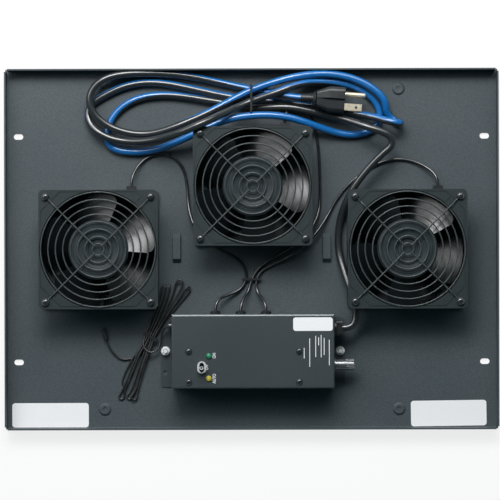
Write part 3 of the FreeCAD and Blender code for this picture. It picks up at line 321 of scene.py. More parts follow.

# %% [markdown]
# ## The mains cord
# A cord is one fixed length of something springy. Its line is a quadratic NURBS curve with
# control points given strand by strand: out of the gland, past the right-hand fan, then in
# figures of eight round the tie until it reaches the plug. Lower strands lie on the tray and
# upper ones rest on them, a diameter higher. Each strand also says how far the painted blue
# reflection has turned there: 0 shows the painted blue on top and 180 shows charcoal.

# %% Mains cord strands
# title, turn of the painted blue reflection in degrees, control points in metres
CORD_DIAMETER = 7.5 * MM
STRANDS = [
    ("from the gland past the fan", 180, [
        (0.0906, -0.0794, 0.0200), (0.0985, -0.0794, 0.0200), (0.1043, -0.0725, 0.0195),
        (0.1042, -0.0600, 0.0185), (0.1004, -0.0440, 0.0180), (0.0940, -0.0260, 0.0125),
        (0.0886, -0.0070, 0.0065), (0.0869, 0.0110, 0.0054), (0.0892, 0.0310, 0.0075),
        (0.0957, 0.0495, 0.0155), (0.1050, 0.0655, 0.0195), (0.1185, 0.0825, 0.0205),
        (0.1330, 0.0970, 0.0215), (0.1415, 0.1035, 0.0220), (0.1405, 0.1125, 0.0235),
        (0.1300, 0.1178, 0.0245),
    ]),
    ("first way across, under the tie", 180, [
        (0.1176, 0.1216, 0.0235), (0.1067, 0.1260, 0.0195), (0.0959, 0.1297, 0.0145),
        (0.0829, 0.1330, 0.0126), (0.0688, 0.1364, 0.0126), (0.0537, 0.1402, 0.0128),
        (0.0386, 0.1429, 0.0124), (0.0215, 0.1430, 0.0106), (0.0043, 0.1423, 0.0062),
        (-0.0118, 0.1447, 0.0053),
    ]),
    ("inner left lobe, upper side", 150, [
        (-0.0290, 0.1478, 0.0053), (-0.0462, 0.1506, 0.0053), (-0.0623, 0.1534, 0.0053),
        (-0.0785, 0.1554, 0.0053), (-0.0936, 0.1558, 0.0053),
    ]),
    ("inner left lobe, turn", 60, [
        (-0.1088, 0.1540, 0.0053), (-0.1219, 0.1494, 0.0053), (-0.1330, 0.1419, 0.0053),
        (-0.1411, 0.1318, 0.0053), (-0.1457, 0.1198, 0.0053), (-0.1461, 0.1087, 0.0053),
    ]),
    ("inner left lobe, lower side, under the fan's corner", 0, [
        (-0.1391, 0.1011, 0.0053), (-0.1249, 0.0983, 0.0053), (-0.1087, 0.0984, 0.0060),
        (-0.0925, 0.1013, 0.0095), (-0.0762, 0.1072, 0.0145), (-0.0600, 0.1148, 0.0190),
        (-0.0449, 0.1220, 0.0205), (-0.0308, 0.1280, 0.0205), (-0.0138, 0.1326, 0.0203),
        (0.0043, 0.1346, 0.0202), (0.0214, 0.1346, 0.0202), (0.0385, 0.1322, 0.0196),
        (0.0546, 0.1274, 0.0170),
    ]),
    ("inner right lobe", 0, [
        (0.0708, 0.1216, 0.0120), (0.0861, 0.1170, 0.0070), (0.1013, 0.1148, 0.0053),
        (0.1154, 0.1171, 0.0053), (0.1255, 0.1227, 0.0053), (0.1302, 0.1318, 0.0053),
        (0.1286, 0.1425, 0.0053), (0.1221, 0.1526, 0.0053), (0.1114, 0.1607, 0.0053),
    ]),
    ("second way across, over the fan's corner", 10, [
        (0.0983, 0.1659, 0.0055), (0.0831, 0.1687, 0.0065), (0.0679, 0.1689, 0.0090),
        (0.0526, 0.1667, 0.0155), (0.0384, 0.1621, 0.0210), (0.0244, 0.1566, 0.0214),
        (0.0103, 0.1522, 0.0190), (-0.0047, 0.1467, 0.0170),
    ]),
    ("down over the fan's corner", 170, [
        (-0.0187, 0.1402, 0.0240), (-0.0316, 0.1338, 0.0355), (-0.0435, 0.1278, 0.0430),
        (-0.0554, 0.1224, 0.0448), (-0.0684, 0.1172, 0.0410), (-0.0826, 0.1128, 0.0320),
        (-0.0980, 0.1096, 0.0230), (-0.1133, 0.1081, 0.0170),
    ]),
    ("middle left lobe", 180, [
        (-0.1285, 0.1086, 0.0135), (-0.1427, 0.1116, 0.0132), (-0.1548, 0.1179, 0.0122),
        (-0.1635, 0.1276, 0.0080), (-0.1657, 0.1385, 0.0053), (-0.1607, 0.1478, 0.0053),
        (-0.1512, 0.1538, 0.0053), (-0.1401, 0.1597, 0.0053),
    ]),
    ("third way across, under the plug", 230, [
        (-0.1280, 0.1647, 0.0053), (-0.1138, 0.1678, 0.0053), (-0.0987, 0.1684, 0.0053),
        (-0.0825, 0.1667, 0.0053), (-0.0664, 0.1633, 0.0053), (-0.0502, 0.1597, 0.0053),
        (-0.0340, 0.1560, 0.0053), (-0.0179, 0.1530, 0.0053), (0.0003, 0.1506, 0.0053),
        (0.0185, 0.1490, 0.0053), (0.0367, 0.1474, 0.0053), (0.0548, 0.1447, 0.0053),
        (0.0730, 0.1415, 0.0053),
    ]),
    ("out from under the plug to the upright curl", 240, [
        (0.0902, 0.1385, 0.0055), (0.1052, 0.1359, 0.0085), (0.1191, 0.1334, 0.0130),
        (0.1290, 0.1308, 0.0166), (0.1373, 0.1282, 0.0206), (0.1443, 0.1267, 0.0218),
        (0.1494, 0.1261, 0.0184), (0.1501, 0.1271, 0.0106), (0.1461, 0.1289, 0.0060),
        (0.1401, 0.1326, 0.0058), (0.1363, 0.1383, 0.0086), (0.1353, 0.1442, 0.0116),
    ]),
    ("outer right lobe", 340, [
        (0.1334, 0.1505, 0.0130), (0.1282, 0.1570, 0.0130), (0.1191, 0.1640, 0.0130),
        (0.1076, 0.1699, 0.0126), (0.0940, 0.1741, 0.0124), (0.0788, 0.1763, 0.0126),
        (0.0637, 0.1761, 0.0134), (0.0486, 0.1741, 0.0150), (0.0345, 0.1711, 0.0158),
        (0.0204, 0.1671, 0.0146), (0.0063, 0.1626, 0.0127),
    ]),
    ("fourth way across", 390, [
        (-0.0078, 0.1564, 0.0127), (-0.0219, 0.1489, 0.0128), (-0.0359, 0.1412, 0.0132),
        (-0.0500, 0.1343, 0.0150), (-0.0640, 0.1281, 0.0175), (-0.0781, 0.1225, 0.0175),
    ]),
    ("outer left lobe", 540, [
        (-0.0922, 0.1180, 0.0155), (-0.1064, 0.1157, 0.0136), (-0.1205, 0.1165, 0.0126),
        (-0.1336, 0.1197, 0.0126), (-0.1457, 0.1252, 0.0126), (-0.1553, 0.1326, 0.0132),
        (-0.1616, 0.1420, 0.0136), (-0.1632, 0.1527, 0.0136), (-0.1591, 0.1628, 0.0136),
        (-0.1507, 0.1704, 0.0136), (-0.1392, 0.1749, 0.0130),
    ]),
    ("fifth way across, to the plug", 540, [
        (-0.1256, 0.1770, 0.0120), (-0.1106, 0.1775, 0.0104), (-0.0945, 0.1774, 0.0090),
        (-0.0784, 0.1764, 0.0080), (-0.0623, 0.1745, 0.0070), (-0.0461, 0.1713, 0.0060),
        (-0.0300, 0.1678, 0.0053), (-0.0138, 0.1641, 0.0053),
    ]),
    ("into the plug", 640, [
        (0.0003, 0.1613, 0.0053), (0.0124, 0.1592, 0.0068), (0.0235, 0.1570, 0.0114),
        (0.0335, 0.1546, 0.0170), (0.0425, 0.1523, 0.0199), (0.0495, 0.1518, 0.0200),
    ]),
]


# %% Cord helper
# The painted blue reflection's edge lies this far round the section from the curve's own top.
REFLECTION_EDGE_TURN = 72


def nurbs_cord(name, points, diameter, body, finish, turns=None):
    """A round cord along the NURBS spline of the control points."""
    curve = bpy.data.curves.new(name, "CURVE")
    curve.dimensions = "3D"
    curve.twist_mode = "Z_UP"
    curve.bevel_depth = diameter / 2
    curve.bevel_resolution = 4
    curve.use_fill_caps = True
    curve.resolution_u = 6
    spline = curve.splines.new("NURBS")
    spline.points.add(len(points) - 1)
    for point, place in zip(spline.points, points):
        point.co = (*place, 1)
    for point, turn in zip(spline.points, turns or []):
        point.tilt = math.radians(turn + REFLECTION_EDGE_TURN)
    spline.order_u = 3
    spline.use_endpoint_u = True
    curve.materials.append(FINISHES[finish])
    cord = bpy.data.objects.new(name, curve)
    bpy.context.scene.collection.objects.link(cord)
    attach(cord, body)
    return cord


def spline_length(cord):
    """The length of a cord's own line, measured on the curve without its thickness."""
    bare = cord.data.copy()
    bare.bevel_depth = 0
    probe = bpy.data.objects.new("bare_line", bare)
    mesh = bpy.data.meshes.new_from_object(probe)
    places = [v.co for v in mesh.vertices]
    length = sum((b - a).length for a, b in zip(places, places[1:]))
    bpy.data.objects.remove(probe)
    bpy.data.meshes.remove(mesh)
    bpy.data.curves.remove(bare)
    return length


# %% [markdown]
# ## The moulded plug
# The plug is one soft black moulding: a ribbed sleeve, a taper and a front block that is lower
# beside the flat blades than beside the round earth pin. The solid has a plain block. Its copy is
# laid straight, cut across by bisect planes where the form changes, and the points behind and
# beside those cuts are moved in.

# %% Moulded plug
PLUG_BACK = Vector((49.5 * MM, 151.8 * MM, 20.0 * MM))
PLUG_TILT = math.radians(-4.0)
PLUG_FACE = 44.1 * MM
FRONT_BLOCK = 15 * MM
TAPER_SPAN = (20 * MM, 29 * MM)
TAPER_WIDTH = 0.62
TAPER_HEIGHT = 0.75
SLEEVE_RADIUS = 7 * MM
STEP_EDGES = (1.4 * MM, 0.6 * MM)
STEP_DROP = 3 * MM
UPPER_SIDE = 4 * MM
CUT_REACH = 0.1 * MM


def mould_plug(bm):
    """Taper the body behind its front block and lower the block beside the blades."""
    lay_straight = Matrix.Rotation(-PLUG_TILT, 4, "Z") @ Matrix.Translation(-PLUG_BACK)
    bmesh.ops.transform(bm, matrix=lay_straight, verts=bm.verts)
    cuts = [(Vector((PLUG_FACE - FRONT_BLOCK, 0, 0)), Vector((1, 0, 0)))]
    cuts += [(Vector((0, y, 0)), Vector((0, 1, 0))) for y in STEP_EDGES]
    for place, normal in cuts:
        everything = bm.verts[:] + bm.edges[:] + bm.faces[:]
        bmesh.ops.bisect_plane(bm, geom=everything, plane_co=place, plane_no=normal)
    for vert in bm.verts:
        behind = PLUG_FACE - vert.co.x
        off_axis = math.hypot(vert.co.y, vert.co.z)
        beside_blades = vert.co.y < sum(STEP_EDGES) / 2 and vert.co.z > UPPER_SIDE
        if TAPER_SPAN[0] < behind < TAPER_SPAN[1] and off_axis > SLEEVE_RADIUS:
            vert.co.y *= TAPER_WIDTH
            vert.co.z *= TAPER_HEIGHT
        elif behind < FRONT_BLOCK + CUT_REACH and beside_blades:
            vert.co.z -= STEP_DROP
    bmesh.ops.transform(bm, matrix=lay_straight.inverted(), verts=bm.verts)


plug_pieces = [
    smooth_copy("power_plug_body", "plug_plastic", shape=mould_plug, angle=math.radians(40)),
    smooth_copy("power_plug_blades", "blade_metal"),
    smooth_copy("power_plug_ground_pin", "blade_metal"),
]
print("plug in", len(plug_pieces), "pieces")

# %% [markdown]
# ## The cord's curve
# The strands are joined end to end. Between two strands the painted blue reflection turns evenly
# from one strand's turn to the next one's, so it changes sides gradually.

# %% Mains cord
cord_points = [point for _, _, strand in STRANDS for point in strand]
reflection_turns = []
for index, (_, turn, strand) in enumerate(STRANDS):
    following = STRANDS[min(index + 1, len(STRANDS) - 1)][1]
    for step in range(len(strand)):
        reflection_turns.append(turn + (following - turn) * step / len(strand))
mains_cord = nurbs_cord(
    "mains_cord", cord_points, CORD_DIAMETER, "tray", "cord_jacket", reflection_turns
)
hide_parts("power_cord", "power_cord_hank_left", "power_cord_hank_right")
print("mains cord", round(spline_length(mains_cord), 3), "m")

# %% [markdown]
# ## The fans' leads
# Each fan has a thin lead from a socket on its edge. The leads lie on the tray, ride over the
# mounting flange of the middle fan, are gathered by a small tie and rise to the grommets of the
# control box.

# %% Fan leads
LEAD_DIAMETER = 3 * MM
LEAD_ROUTES = {
    "left": [
        (-0.1210, 0.0636, 0.0130), (-0.1210, 0.0705, 0.0130), (-0.1165, 0.0820, 0.0075),
        (-0.1070, 0.0925, 0.0034), (-0.0920, 0.0970, 0.0033), (-0.0770, 0.0930, 0.0033),
        (-0.0675, 0.0800, 0.0033), (-0.0645, 0.0600, 0.0033), (-0.0640, 0.0440, 0.0055),
        (-0.0605, 0.0285, 0.0120), (-0.0520, 0.0155, 0.0155), (-0.0420, 0.0060, 0.0125),
        (-0.0310, -0.0015, 0.0055), (-0.0170, -0.0080, 0.0034), (-0.0070, -0.0180, 0.0033),
        (-0.0046, -0.0305, 0.0033), (-0.0110, -0.0410, 0.0036), (-0.0245, -0.0465, 0.0070),
        (-0.0335, -0.0500, 0.0125), (-0.0367, -0.0575, 0.0158), (-0.0367, -0.0730, 0.0162),
        (-0.0372, -0.0887, 0.0173),
    ],
    "middle": [
        (0.0332, 0.1266, 0.0130), (0.0332, 0.1335, 0.0130), (0.0375, 0.1410, 0.0095),
        (0.0460, 0.1435, 0.0050), (0.0555, 0.1390, 0.0034), (0.0630, 0.1275, 0.0033),
        (0.0675, 0.1050, 0.0033), (0.0690, 0.0820, 0.0033), (0.0694, 0.0600, 0.0033),
        (0.0690, 0.0420, 0.0055), (0.0640, 0.0265, 0.0115), (0.0540, 0.0135, 0.0150),
        (0.0420, 0.0035, 0.0115), (0.0300, -0.0045, 0.0050), (0.0170, -0.0115, 0.0034),
        (0.0060, -0.0200, 0.0033), (0.0000, -0.0310, 0.0033), (-0.0030, -0.0420, 0.0046),
        (-0.0085, -0.0495, 0.0105), (-0.0112, -0.0575, 0.0156), (-0.0112, -0.0730, 0.0162),
        (-0.0117, -0.0887, 0.0173),
    ],
    "right": [
        (0.1875, 0.0636, 0.0130), (0.1875, 0.0710, 0.0130), (0.1805, 0.0800, 0.0080),
        (0.1660, 0.0880, 0.0036), (0.1480, 0.0915, 0.0033), (0.1290, 0.0875, 0.0033),
        (0.1115, 0.0765, 0.0033), (0.0955, 0.0630, 0.0033), (0.0845, 0.0480, 0.0033),
        (0.0770, 0.0340, 0.0050), (0.0685, 0.0205, 0.0110), (0.0585, 0.0085, 0.0145),
        (0.0470, -0.0015, 0.0110), (0.0350, -0.0095, 0.0050), (0.0215, -0.0155, 0.0034),
        (0.0095, -0.0220, 0.0033), (0.0044, -0.0315, 0.0033), (0.0050, -0.0430, 0.0044),
        (0.0105, -0.0495, 0.0100), (0.0143, -0.0575, 0.0156), (0.0143, -0.0730, 0.0162),
        (0.0138, -0.0887, 0.0173),
    ],
}
for side, route in LEAD_ROUTES.items():
    lead = nurbs_cord(f"{side}_lead", route, LEAD_DIAMETER, "tray", "lead_jacket")
    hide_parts(f"{side}_fan_lead")
    print(side, "lead", round(spline_length(lead), 3), "m")

# %% [markdown]
# ## The probe's lead
# The temperature probe hangs on a thin lead that is still folded as it came, pinched by a band.
# It leaves its grommet, makes a small hook to the band, runs up and down in the folded bundle and
# ends at the metal tip.

# %% Probe lead strands
PROBE_WIRE = 2 * MM
PROBE_STRANDS = [
    ("out of the grommet and round to the band", [
        (-0.0836, -0.0776, 0.0120), (-0.0874, -0.0776, 0.0120), (-0.0910, -0.0845, 0.0085),
        (-0.0916, -0.0925, 0.0070), (-0.0944, -0.1006, 0.0082), (-0.1004, -0.1044, 0.0089),
        (-0.1066, -0.1025, 0.0088), (-0.1098, -0.0965, 0.0076), (-0.1089, -0.0905, 0.0062),
        (-0.1068, -0.0864, 0.0057),
    ]),
    ("first fold up", [
        (-0.1025, -0.0747, 0.0059), (-0.0972, -0.0605, 0.0064), (-0.0931, -0.0484, 0.0072),
        (-0.0909, -0.0393, 0.0073), (-0.0903, -0.0367, 0.0073), (-0.0900, -0.0353, 0.0050),
        (-0.0903, -0.0367, 0.0027), (-0.0909, -0.0393, 0.0027), (-0.0923, -0.0479, 0.0027),
        (-0.0964, -0.0605, 0.0029), (-0.1016, -0.0747, 0.0034), (-0.1064, -0.0866, 0.0037),
    ]),
    ("a loose loop down", [
        (-0.1100, -0.0944, 0.0044), (-0.1154, -0.1025, 0.0046), (-0.1208, -0.1105, 0.0047),
        (-0.1260, -0.1196, 0.0036), (-0.1296, -0.1282, 0.0027), (-0.1313, -0.1337, 0.0027),
        (-0.1308, -0.1364, 0.0027), (-0.1281, -0.1373, 0.0027), (-0.1258, -0.1353, 0.0027),
        (-0.1215, -0.1277, 0.0027), (-0.1184, -0.1181, 0.0036), (-0.1134, -0.1050, 0.0046),
        (-0.1082, -0.0939, 0.0042), (-0.1050, -0.0873, 0.0037),
    ]),
    ("second fold up", [
        (-0.0993, -0.0752, 0.0034), (-0.0937, -0.0610, 0.0029), (-0.0888, -0.0484, 0.0027),
        (-0.0873, -0.0396, 0.0027), (-0.0867, -0.0370, 0.0027), (-0.0864, -0.0356, 0.0050),
        (-0.0867, -0.0370, 0.0073), (-0.0873, -0.0396, 0.0073), (-0.0892, -0.0484, 0.0072),
        (-0.0943, -0.0610, 0.0064), (-0.0999, -0.0752, 0.0059), (-0.1050, -0.0873, 0.0057),
    ]),
    ("first fold down", [
        (-0.1084, -0.0939, 0.0060), (-0.1147, -0.1030, 0.0066), (-0.1191, -0.1141, 0.0064),
        (-0.1237, -0.1252, 0.0054), (-0.1278, -0.1353, 0.0048), (-0.1312, -0.1434, 0.0032),
        (-0.1345, -0.1480, 0.0027), (-0.1341, -0.1510, 0.0027), (-0.1312, -0.1517, 0.0027),
        (-0.1290, -0.1496, 0.0027), (-0.1288, -0.1434, 0.0034), (-0.1255, -0.1353, 0.0048),
        (-0.1214, -0.1252, 0.0056), (-0.1169, -0.1141, 0.0064), (-0.1124, -0.1030, 0.0066),
        (-0.1066, -0.0959, 0.0062), (-0.1032, -0.0883, 0.0057),
    ]),
    ("third fold up", [
        (-0.0971, -0.0757, 0.0059), (-0.0908, -0.0615, 0.0064), (-0.0854, -0.0489, 0.0072),
        (-0.0833, -0.0396, 0.0073), (-0.0827, -0.0370, 0.0073), (-0.0824, -0.0356, 0.0050),
        (-0.0827, -0.0370, 0.0027), (-0.0833, -0.0396, 0.0027), (-0.0850, -0.0489, 0.0027),
        (-0.0902, -0.0615, 0.0029), (-0.0965, -0.0757, 0.0034), (-0.1030, -0.0884, 0.0037),
    ]),
    ("second fold down", [
        (-0.1056, -0.0969, 0.0043), (-0.1094, -0.1060, 0.0046), (-0.1133, -0.1171, 0.0044),
        (-0.1169, -0.1282, 0.0038), (-0.1204, -0.1383, 0.0030), (-0.1234, -0.1449, 0.0027),
        (-0.1264, -0.1478, 0.0027), (-0.1262, -0.1507, 0.0027), (-0.1235, -0.1517, 0.0027),
        (-0.1210, -0.1500, 0.0027), (-0.1201, -0.1464, 0.0028), (-0.1177, -0.1393, 0.0030),
        (-0.1147, -0.1292, 0.0038), (-0.1113, -0.1181, 0.0044), (-0.1076, -0.1070, 0.0046),
        (-0.1040, -0.0974, 0.0043), (-0.1014, -0.0893, 0.0037),
    ]),
    ("a splayed fold up", [
        (-0.0952, -0.0777, 0.0036), (-0.0886, -0.0646, 0.0036), (-0.0820, -0.0514, 0.0036),
        (-0.0783, -0.0423, 0.0040), (-0.0771, -0.0348, 0.0050), (-0.0733, -0.0302, 0.0060),
        (-0.0692, -0.0324, 0.0066), (-0.0701, -0.0378, 0.0066), (-0.0763, -0.0489, 0.0063),
        (-0.0848, -0.0605, 0.0060), (-0.0933, -0.0747, 0.0058), (-0.1014, -0.0893, 0.0057),
    ]),
    ("third fold down", [
        (-0.1032, -0.0969, 0.0062), (-0.1064, -0.1065, 0.0066), (-0.1102, -0.1176, 0.0063),
        (-0.1137, -0.1287, 0.0052), (-0.1159, -0.1383, 0.0048), (-0.1191, -0.1449, 0.0048),
        (-0.1218, -0.1480, 0.0048), (-0.1217, -0.1509, 0.0047), (-0.1189, -0.1521, 0.0044),
        (-0.1164, -0.1502, 0.0041), (-0.1159, -0.1449, 0.0036), (-0.1141, -0.1383, 0.0038),
        (-0.1117, -0.1292, 0.0042), (-0.1086, -0.1186, 0.0052), (-0.1052, -0.1075, 0.0062),
        (-0.1014, -0.0974, 0.0062), (-0.0995, -0.0902, 0.0057),
    ]),
    ("a second splayed fold up", [
        (-0.0925, -0.0777, 0.0058), (-0.0866, -0.0681, 0.0058), (-0.0797, -0.0585, 0.0058),
        (-0.0720, -0.0474, 0.0058), (-0.0680, -0.0408, 0.0058), (-0.0652, -0.0371, 0.0052),
        (-0.0619, -0.0385, 0.0046), (-0.0632, -0.0429, 0.0040), (-0.0700, -0.0512, 0.0034),
        (-0.0771, -0.0598, 0.0032), (-0.0840, -0.0678, 0.0034), (-0.0908, -0.0775, 0.0036),
        (-0.0993, -0.0904, 0.0037),
    ]),
    ("out of the band to the tip", [
        (-0.1030, -0.0970, 0.0026), (-0.1100, -0.1050, 0.0026), (-0.1180, -0.1095, 0.0026),
        (-0.1266, -0.1112, 0.0030), (-0.1325, -0.1110, 0.0033), (-0.1395, -0.1056, 0.0034),
        (-0.1450, -0.0979, 0.0039), (-0.1472, -0.0910, 0.0039),
    ]),
]

# %% Probe lead
probe_points = [point for _, strand in PROBE_STRANDS for point in strand]
probe_cord = nurbs_cord("probe_cord", probe_points, PROBE_WIRE, "tray", "probe_jacket")
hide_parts("probe_lead", "probe_lead_hank", "probe_tail")
print("probe lead", round(spline_length(probe_cord), 3), "m")
smooth_copy("probe_tip", "black_steel")

# %% [markdown]
# ## Dress the rest of the CAD pieces
# Flat sheet and square blocks are right as they are and only get a finish. Round pieces get their
# smooth copies. The rotors are one moulding whose hub cap is a satin beside the polished blades;
# the copy's faces near the shaft take that satin, painted paler as a sheen.

# %% Dress the CAD pieces
KEPT_FLAT = ["panel", "circuit_board", "relay", "terminal_block", "transformer"]
SHOWN_BY_CORDS = [
    "power_cord", "power_cord_hank_left", "power_cord_hank_right",
    "power_plug_body", "power_plug_blades", "power_plug_ground_pin",
    "left_fan_lead", "middle_fan_lead", "right_fan_lead",
    "probe_lead", "probe_lead_hank", "probe_tail", "probe_tip",
]
MADE_BELOW = ["control_box"] + [side + "_fan_guard" for side in SIDES]
HUB_CAP_RADIUS = 30.1 * MM
SPECIAL_FINISH = {
    "cover_screws": "black_steel", "fuse_cap": "dark_nickel", "fuse_holder": "dark_nickel",
}
COVER_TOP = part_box("control_box")[1].z


def fan_centre(side):
    """Where a fan's shaft stands on the tray."""
    low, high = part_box(side + "_fan_shaft")
    return Vector(((low.x + high.x) / 2, (low.y + high.y) / 2, 0))


def on_hub_cap(side):
    """A test for faces within the hub cap's radius."""
    centre = fan_centre(side)
    return lambda face: (
        math.hypot(face.center.x - centre.x, face.center.y - centre.y) < HUB_CAP_RADIUS
    )


for node, solid in frame["nodes"].items():
    finish = SPECIAL_FINISH.get(node, FINISH_OF_SLOT.get(SLOT_OF[node], SLOT_OF[node]))
    if node in KEPT_FLAT:
        solid.data.materials.clear()
        solid.data.materials.append(FINISHES[finish])
    elif node not in SHOWN_BY_CORDS + MADE_BELOW:
        piece = smooth_copy(node, finish)
        if node.endswith("_impeller"):
            # faces near the shaft take the hub's satin with its painted sheen
            paint_where(piece, "hub_satin_painted_sheen", on_hub_cap(node.split("_")[0]))
        if node == "switch_body":
            paint_where(piece, "satin_nickel", lambda face: face.center.z > COVER_TOP)
print("dressed", len(frame["nodes"]), "nodes")

# %% [markdown]
# ## Screw heads
# The screws that hold the guards and the cover have domed heads with a cross recess. Each dome is
# the upper half of a squashed sphere that just clears the plain head below it, and the recess is
# two thin dark bars of painted shade.

# %% Domed heads
HALF_PITCH = 52.4 * MM
COVER_SCREW_X = (-63.0 * MM, 47.2 * MM)
COVER_SCREW_Y = (-132.2 * MM, -101.7 * MM)
HEAD_SINK = 2.0 * MM
RECESS_TURNS = (20, 110)
RECESS_SINK = 0.12 * MM
RECESS_DEPTH = 0.3 * MM
# the bars' length and width, as shares of the head's radius
RECESS_LENGTH = 0.95
RECESS_WIDTH = 0.22


def domed_heads(name, places, radius, height):
    """Domes at the given places, each with a cross recess."""
    domes = bmesh.new()
    bars = bmesh.new()
    for place in places:
        stand = Matrix.Translation(place) @ Matrix.Diagonal((radius, radius, height, 1))
        bmesh.ops.create_uvsphere(domes, u_segments=14, v_segments=8, radius=1, matrix=stand)
        for turn in RECESS_TURNS:
            bar = Matrix.Translation(place + Vector((0, 0, height - RECESS_SINK)))
            bar = bar @ Matrix.Rotation(math.radians(turn), 4, "Z")
            size = (radius * RECESS_LENGTH, radius * RECESS_WIDTH, RECESS_DEPTH, 1)
            bar = bar @ Matrix.Diagonal(size)
            bmesh.ops.create_cube(bars, size=1, matrix=bar)
    smooth_by_angle(domes, math.radians(60))
    add_made(name, domes, "black_steel")
    # the recess bars are painted shade
    add_made(name + "_recess_shade", bars, "black_plastic")


guard_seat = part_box("guard_screws")[1].z - HEAD_SINK
cover_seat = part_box("cover_screws")[1].z - HEAD_SINK
guard_places = [
    fan_centre(side) + Vector((dx, dy, guard_seat))
    for side in SIDES for dx in (-HALF_PITCH, HALF_PITCH) for dy in (-HALF_PITCH, HALF_PITCH)
]
cover_places = [Vector((x, y, cover_seat)) for x in COVER_SCREW_X for y in COVER_SCREW_Y]
domed_heads("guard_screw_heads", guard_places, 3.7 * MM, 2.15 * MM)
domed_heads("cover_screw_heads", cover_places, 3.5 * MM, 2.5 * MM)
print(len(guard_places) + len(cover_places), "domed heads")

# %% [markdown]
# ## Painted shade in the gap between stud and nut
# A nut turns freely on its stud, so a fine gap in shade rings it. A dark disc just above
# the nut, wider than the stud that pokes through it, leaves that ring of painted shade.

# %% Stud gaps
STUD_RADIUS = 2.0 * MM
STUD_HEAD = STUD_RADIUS + 1.4 * MM
GAP_RADIUS = STUD_RADIUS + 0.45 * MM
low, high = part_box("control_box_studs")
nut_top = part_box("control_box_nuts")[1].z + 0.03 * MM
bm = bmesh.new()
for x in (low.x + STUD_HEAD, high.x - STUD_HEAD):
    place = Matrix.Translation((x, (low.y + high.y) / 2, nut_top))
    bmesh.ops.create_circle(bm, cap_ends=True, segments=24, radius=GAP_RADIUS, matrix=place)
# the dark disc paints the shade in the gap between nut and stud
add_made("stud_gap_shade", bm, "black_plastic")
print("stud gaps at", round(nut_top / MM, 2), "mm")

# %% [markdown]
# ## The folded control box
# The box is bent from sheet, and its solid already has the round bend above the grommets. That bend
# catches the light and looks paler than the flat cover. The copy's flat faces are joined first, so
# that only the bend's own narrow faces lie near the corner, and those take a painted highlight, a
# paler coat.

# %% Folded box
BEND_REACH = 2.0 * MM
box_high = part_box("control_box")[1]


def join_flat_faces(bm):
    """Join the triangles of each flat side into one face."""
    bmesh.ops.dissolve_limit(bm, angle_limit=math.radians(1), verts=bm.verts, edges=bm.edges)


def on_bend(face):
    """Whether a face belongs to the bend."""
    near = face.center.z > box_high.z - BEND_REACH and face.center.y > box_high.y - BEND_REACH
    return near and face.normal.y > 0.05


folded_box = smooth_copy(
    "control_box", "box_coat", "folded_box", join_flat_faces, math.radians(28)
)
# the bend's faces get the paler coat, a painted highlight
paint_where(folded_box, "box_bend_highlight", on_bend)
print(sum(face.material_index for face in folded_box.data.polygons), "faces of the bend painted")

# %% [markdown]
# ## Finger guards
# A guard is eight rings of round wire, welded under four arms that end in eyelets at the corner
# screws. The CAD wire has six flats, and round wire is what carries the thin line of light. Each
# ring is a small circle spun round the fan's axis; each arm is three short rods, the middle one
# stepping down from the rings to the screws.

# %% Guard wire
WIRE_RADIUS = 0.72 * MM
WIRE_SIDES = 8
RING_COUNT = 8
FIRST_RING = 5.8 * MM
RING_STEP = 7.35 * MM
FEWEST_TURNS = 24
TURNS_PER_MM = 1.6
ARM_START = 5.2 * MM
ARM_STEP = (62 * MM, 66 * MM)
EYELET_RADIUS = 3.1 * MM
GUARD_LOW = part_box("left_fan_guard")[0].z
RING_HEIGHT = GUARD_LOW + 0.8 * MM
ARM_HEIGHT = GUARD_LOW + 2.3 * MM


def wire_hoop(bm, centre, radius, height):
    """One ring of round wire about an upright axis."""
    stand = Matrix.Translation(centre + Vector((radius, 0, height)))
    stand = stand @ Matrix.Rotation(math.pi / 2, 4, "X")
    loop = bmesh.ops.create_circle(
        bm, segments=WIRE_SIDES, radius=WIRE_RADIUS, matrix=stand
    )["verts"]
    edges = list({edge for vert in loop for edge in vert.link_edges})
    bmesh.ops.spin(bm, geom=loop + edges, cent=centre, axis=(0, 0, 1), angle=math.tau,
                   steps=max(FEWEST_TURNS, int(radius / MM * TURNS_PER_MM)), use_merge=True)


def wire_rod(bm, start, end):
    """A straight round wire between two points."""
    run = end - start
    place = Matrix.Translation((start + end) / 2) @ run.to_track_quat("Z", "Y").to_matrix().to_4x4()
    bmesh.ops.create_cone(bm, cap_ends=True, segments=WIRE_SIDES, radius1=WIRE_RADIUS,
                          radius2=WIRE_RADIUS, depth=run.length + WIRE_RADIUS / 2, matrix=place)


def finger_guard(side):
    """Rings, arms and eyelets of one fan's guard."""
    centre = fan_centre(side)
    bm = bmesh.new()
    for index in range(RING_COUNT):
        wire_hoop(bm, centre, FIRST_RING + RING_STEP * index, RING_HEIGHT)
    corner = HALF_PITCH * math.sqrt(2)
    stops = [
        (ARM_START, ARM_HEIGHT),
        (ARM_STEP[0], ARM_HEIGHT),
        (ARM_STEP[1], RING_HEIGHT),
        (corner - EYELET_RADIUS, RING_HEIGHT),
    ]
    for quarter in range(4):
        heading = Matrix.Rotation(math.radians(45 + 90 * quarter), 3, "Z")
        path = [centre + heading @ Vector((reach, 0, z)) for reach, z in stops]
        for start, end in zip(path, path[1:]):
            wire_rod(bm, start, end)
        wire_hoop(bm, centre + heading @ Vector((corner, 0, 0)), EYELET_RADIUS, RING_HEIGHT)
    bmesh.ops.recalc_face_normals(bm, faces=bm.faces)
    smooth_by_angle(bm, math.radians(50))
    guard = add_made(side + "_guard", bm, "guard_wire")
    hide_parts(side + "_fan_guard")
    return guard


for side in SIDES:
    print(side, "guard has", len(finger_guard(side).data.polygons), "faces")

# %% [markdown]
# ## Labels
# Two white label patches lie on the tray's floor and one on the control box. All are left blank.
# A grid of one face, bevelled at its corners and extruded a little, makes a thin rounded patch.

# %% Label patches
LABEL_THICKNESS = 0.15 * MM
FLOOR_TOP = 1.5 * MM
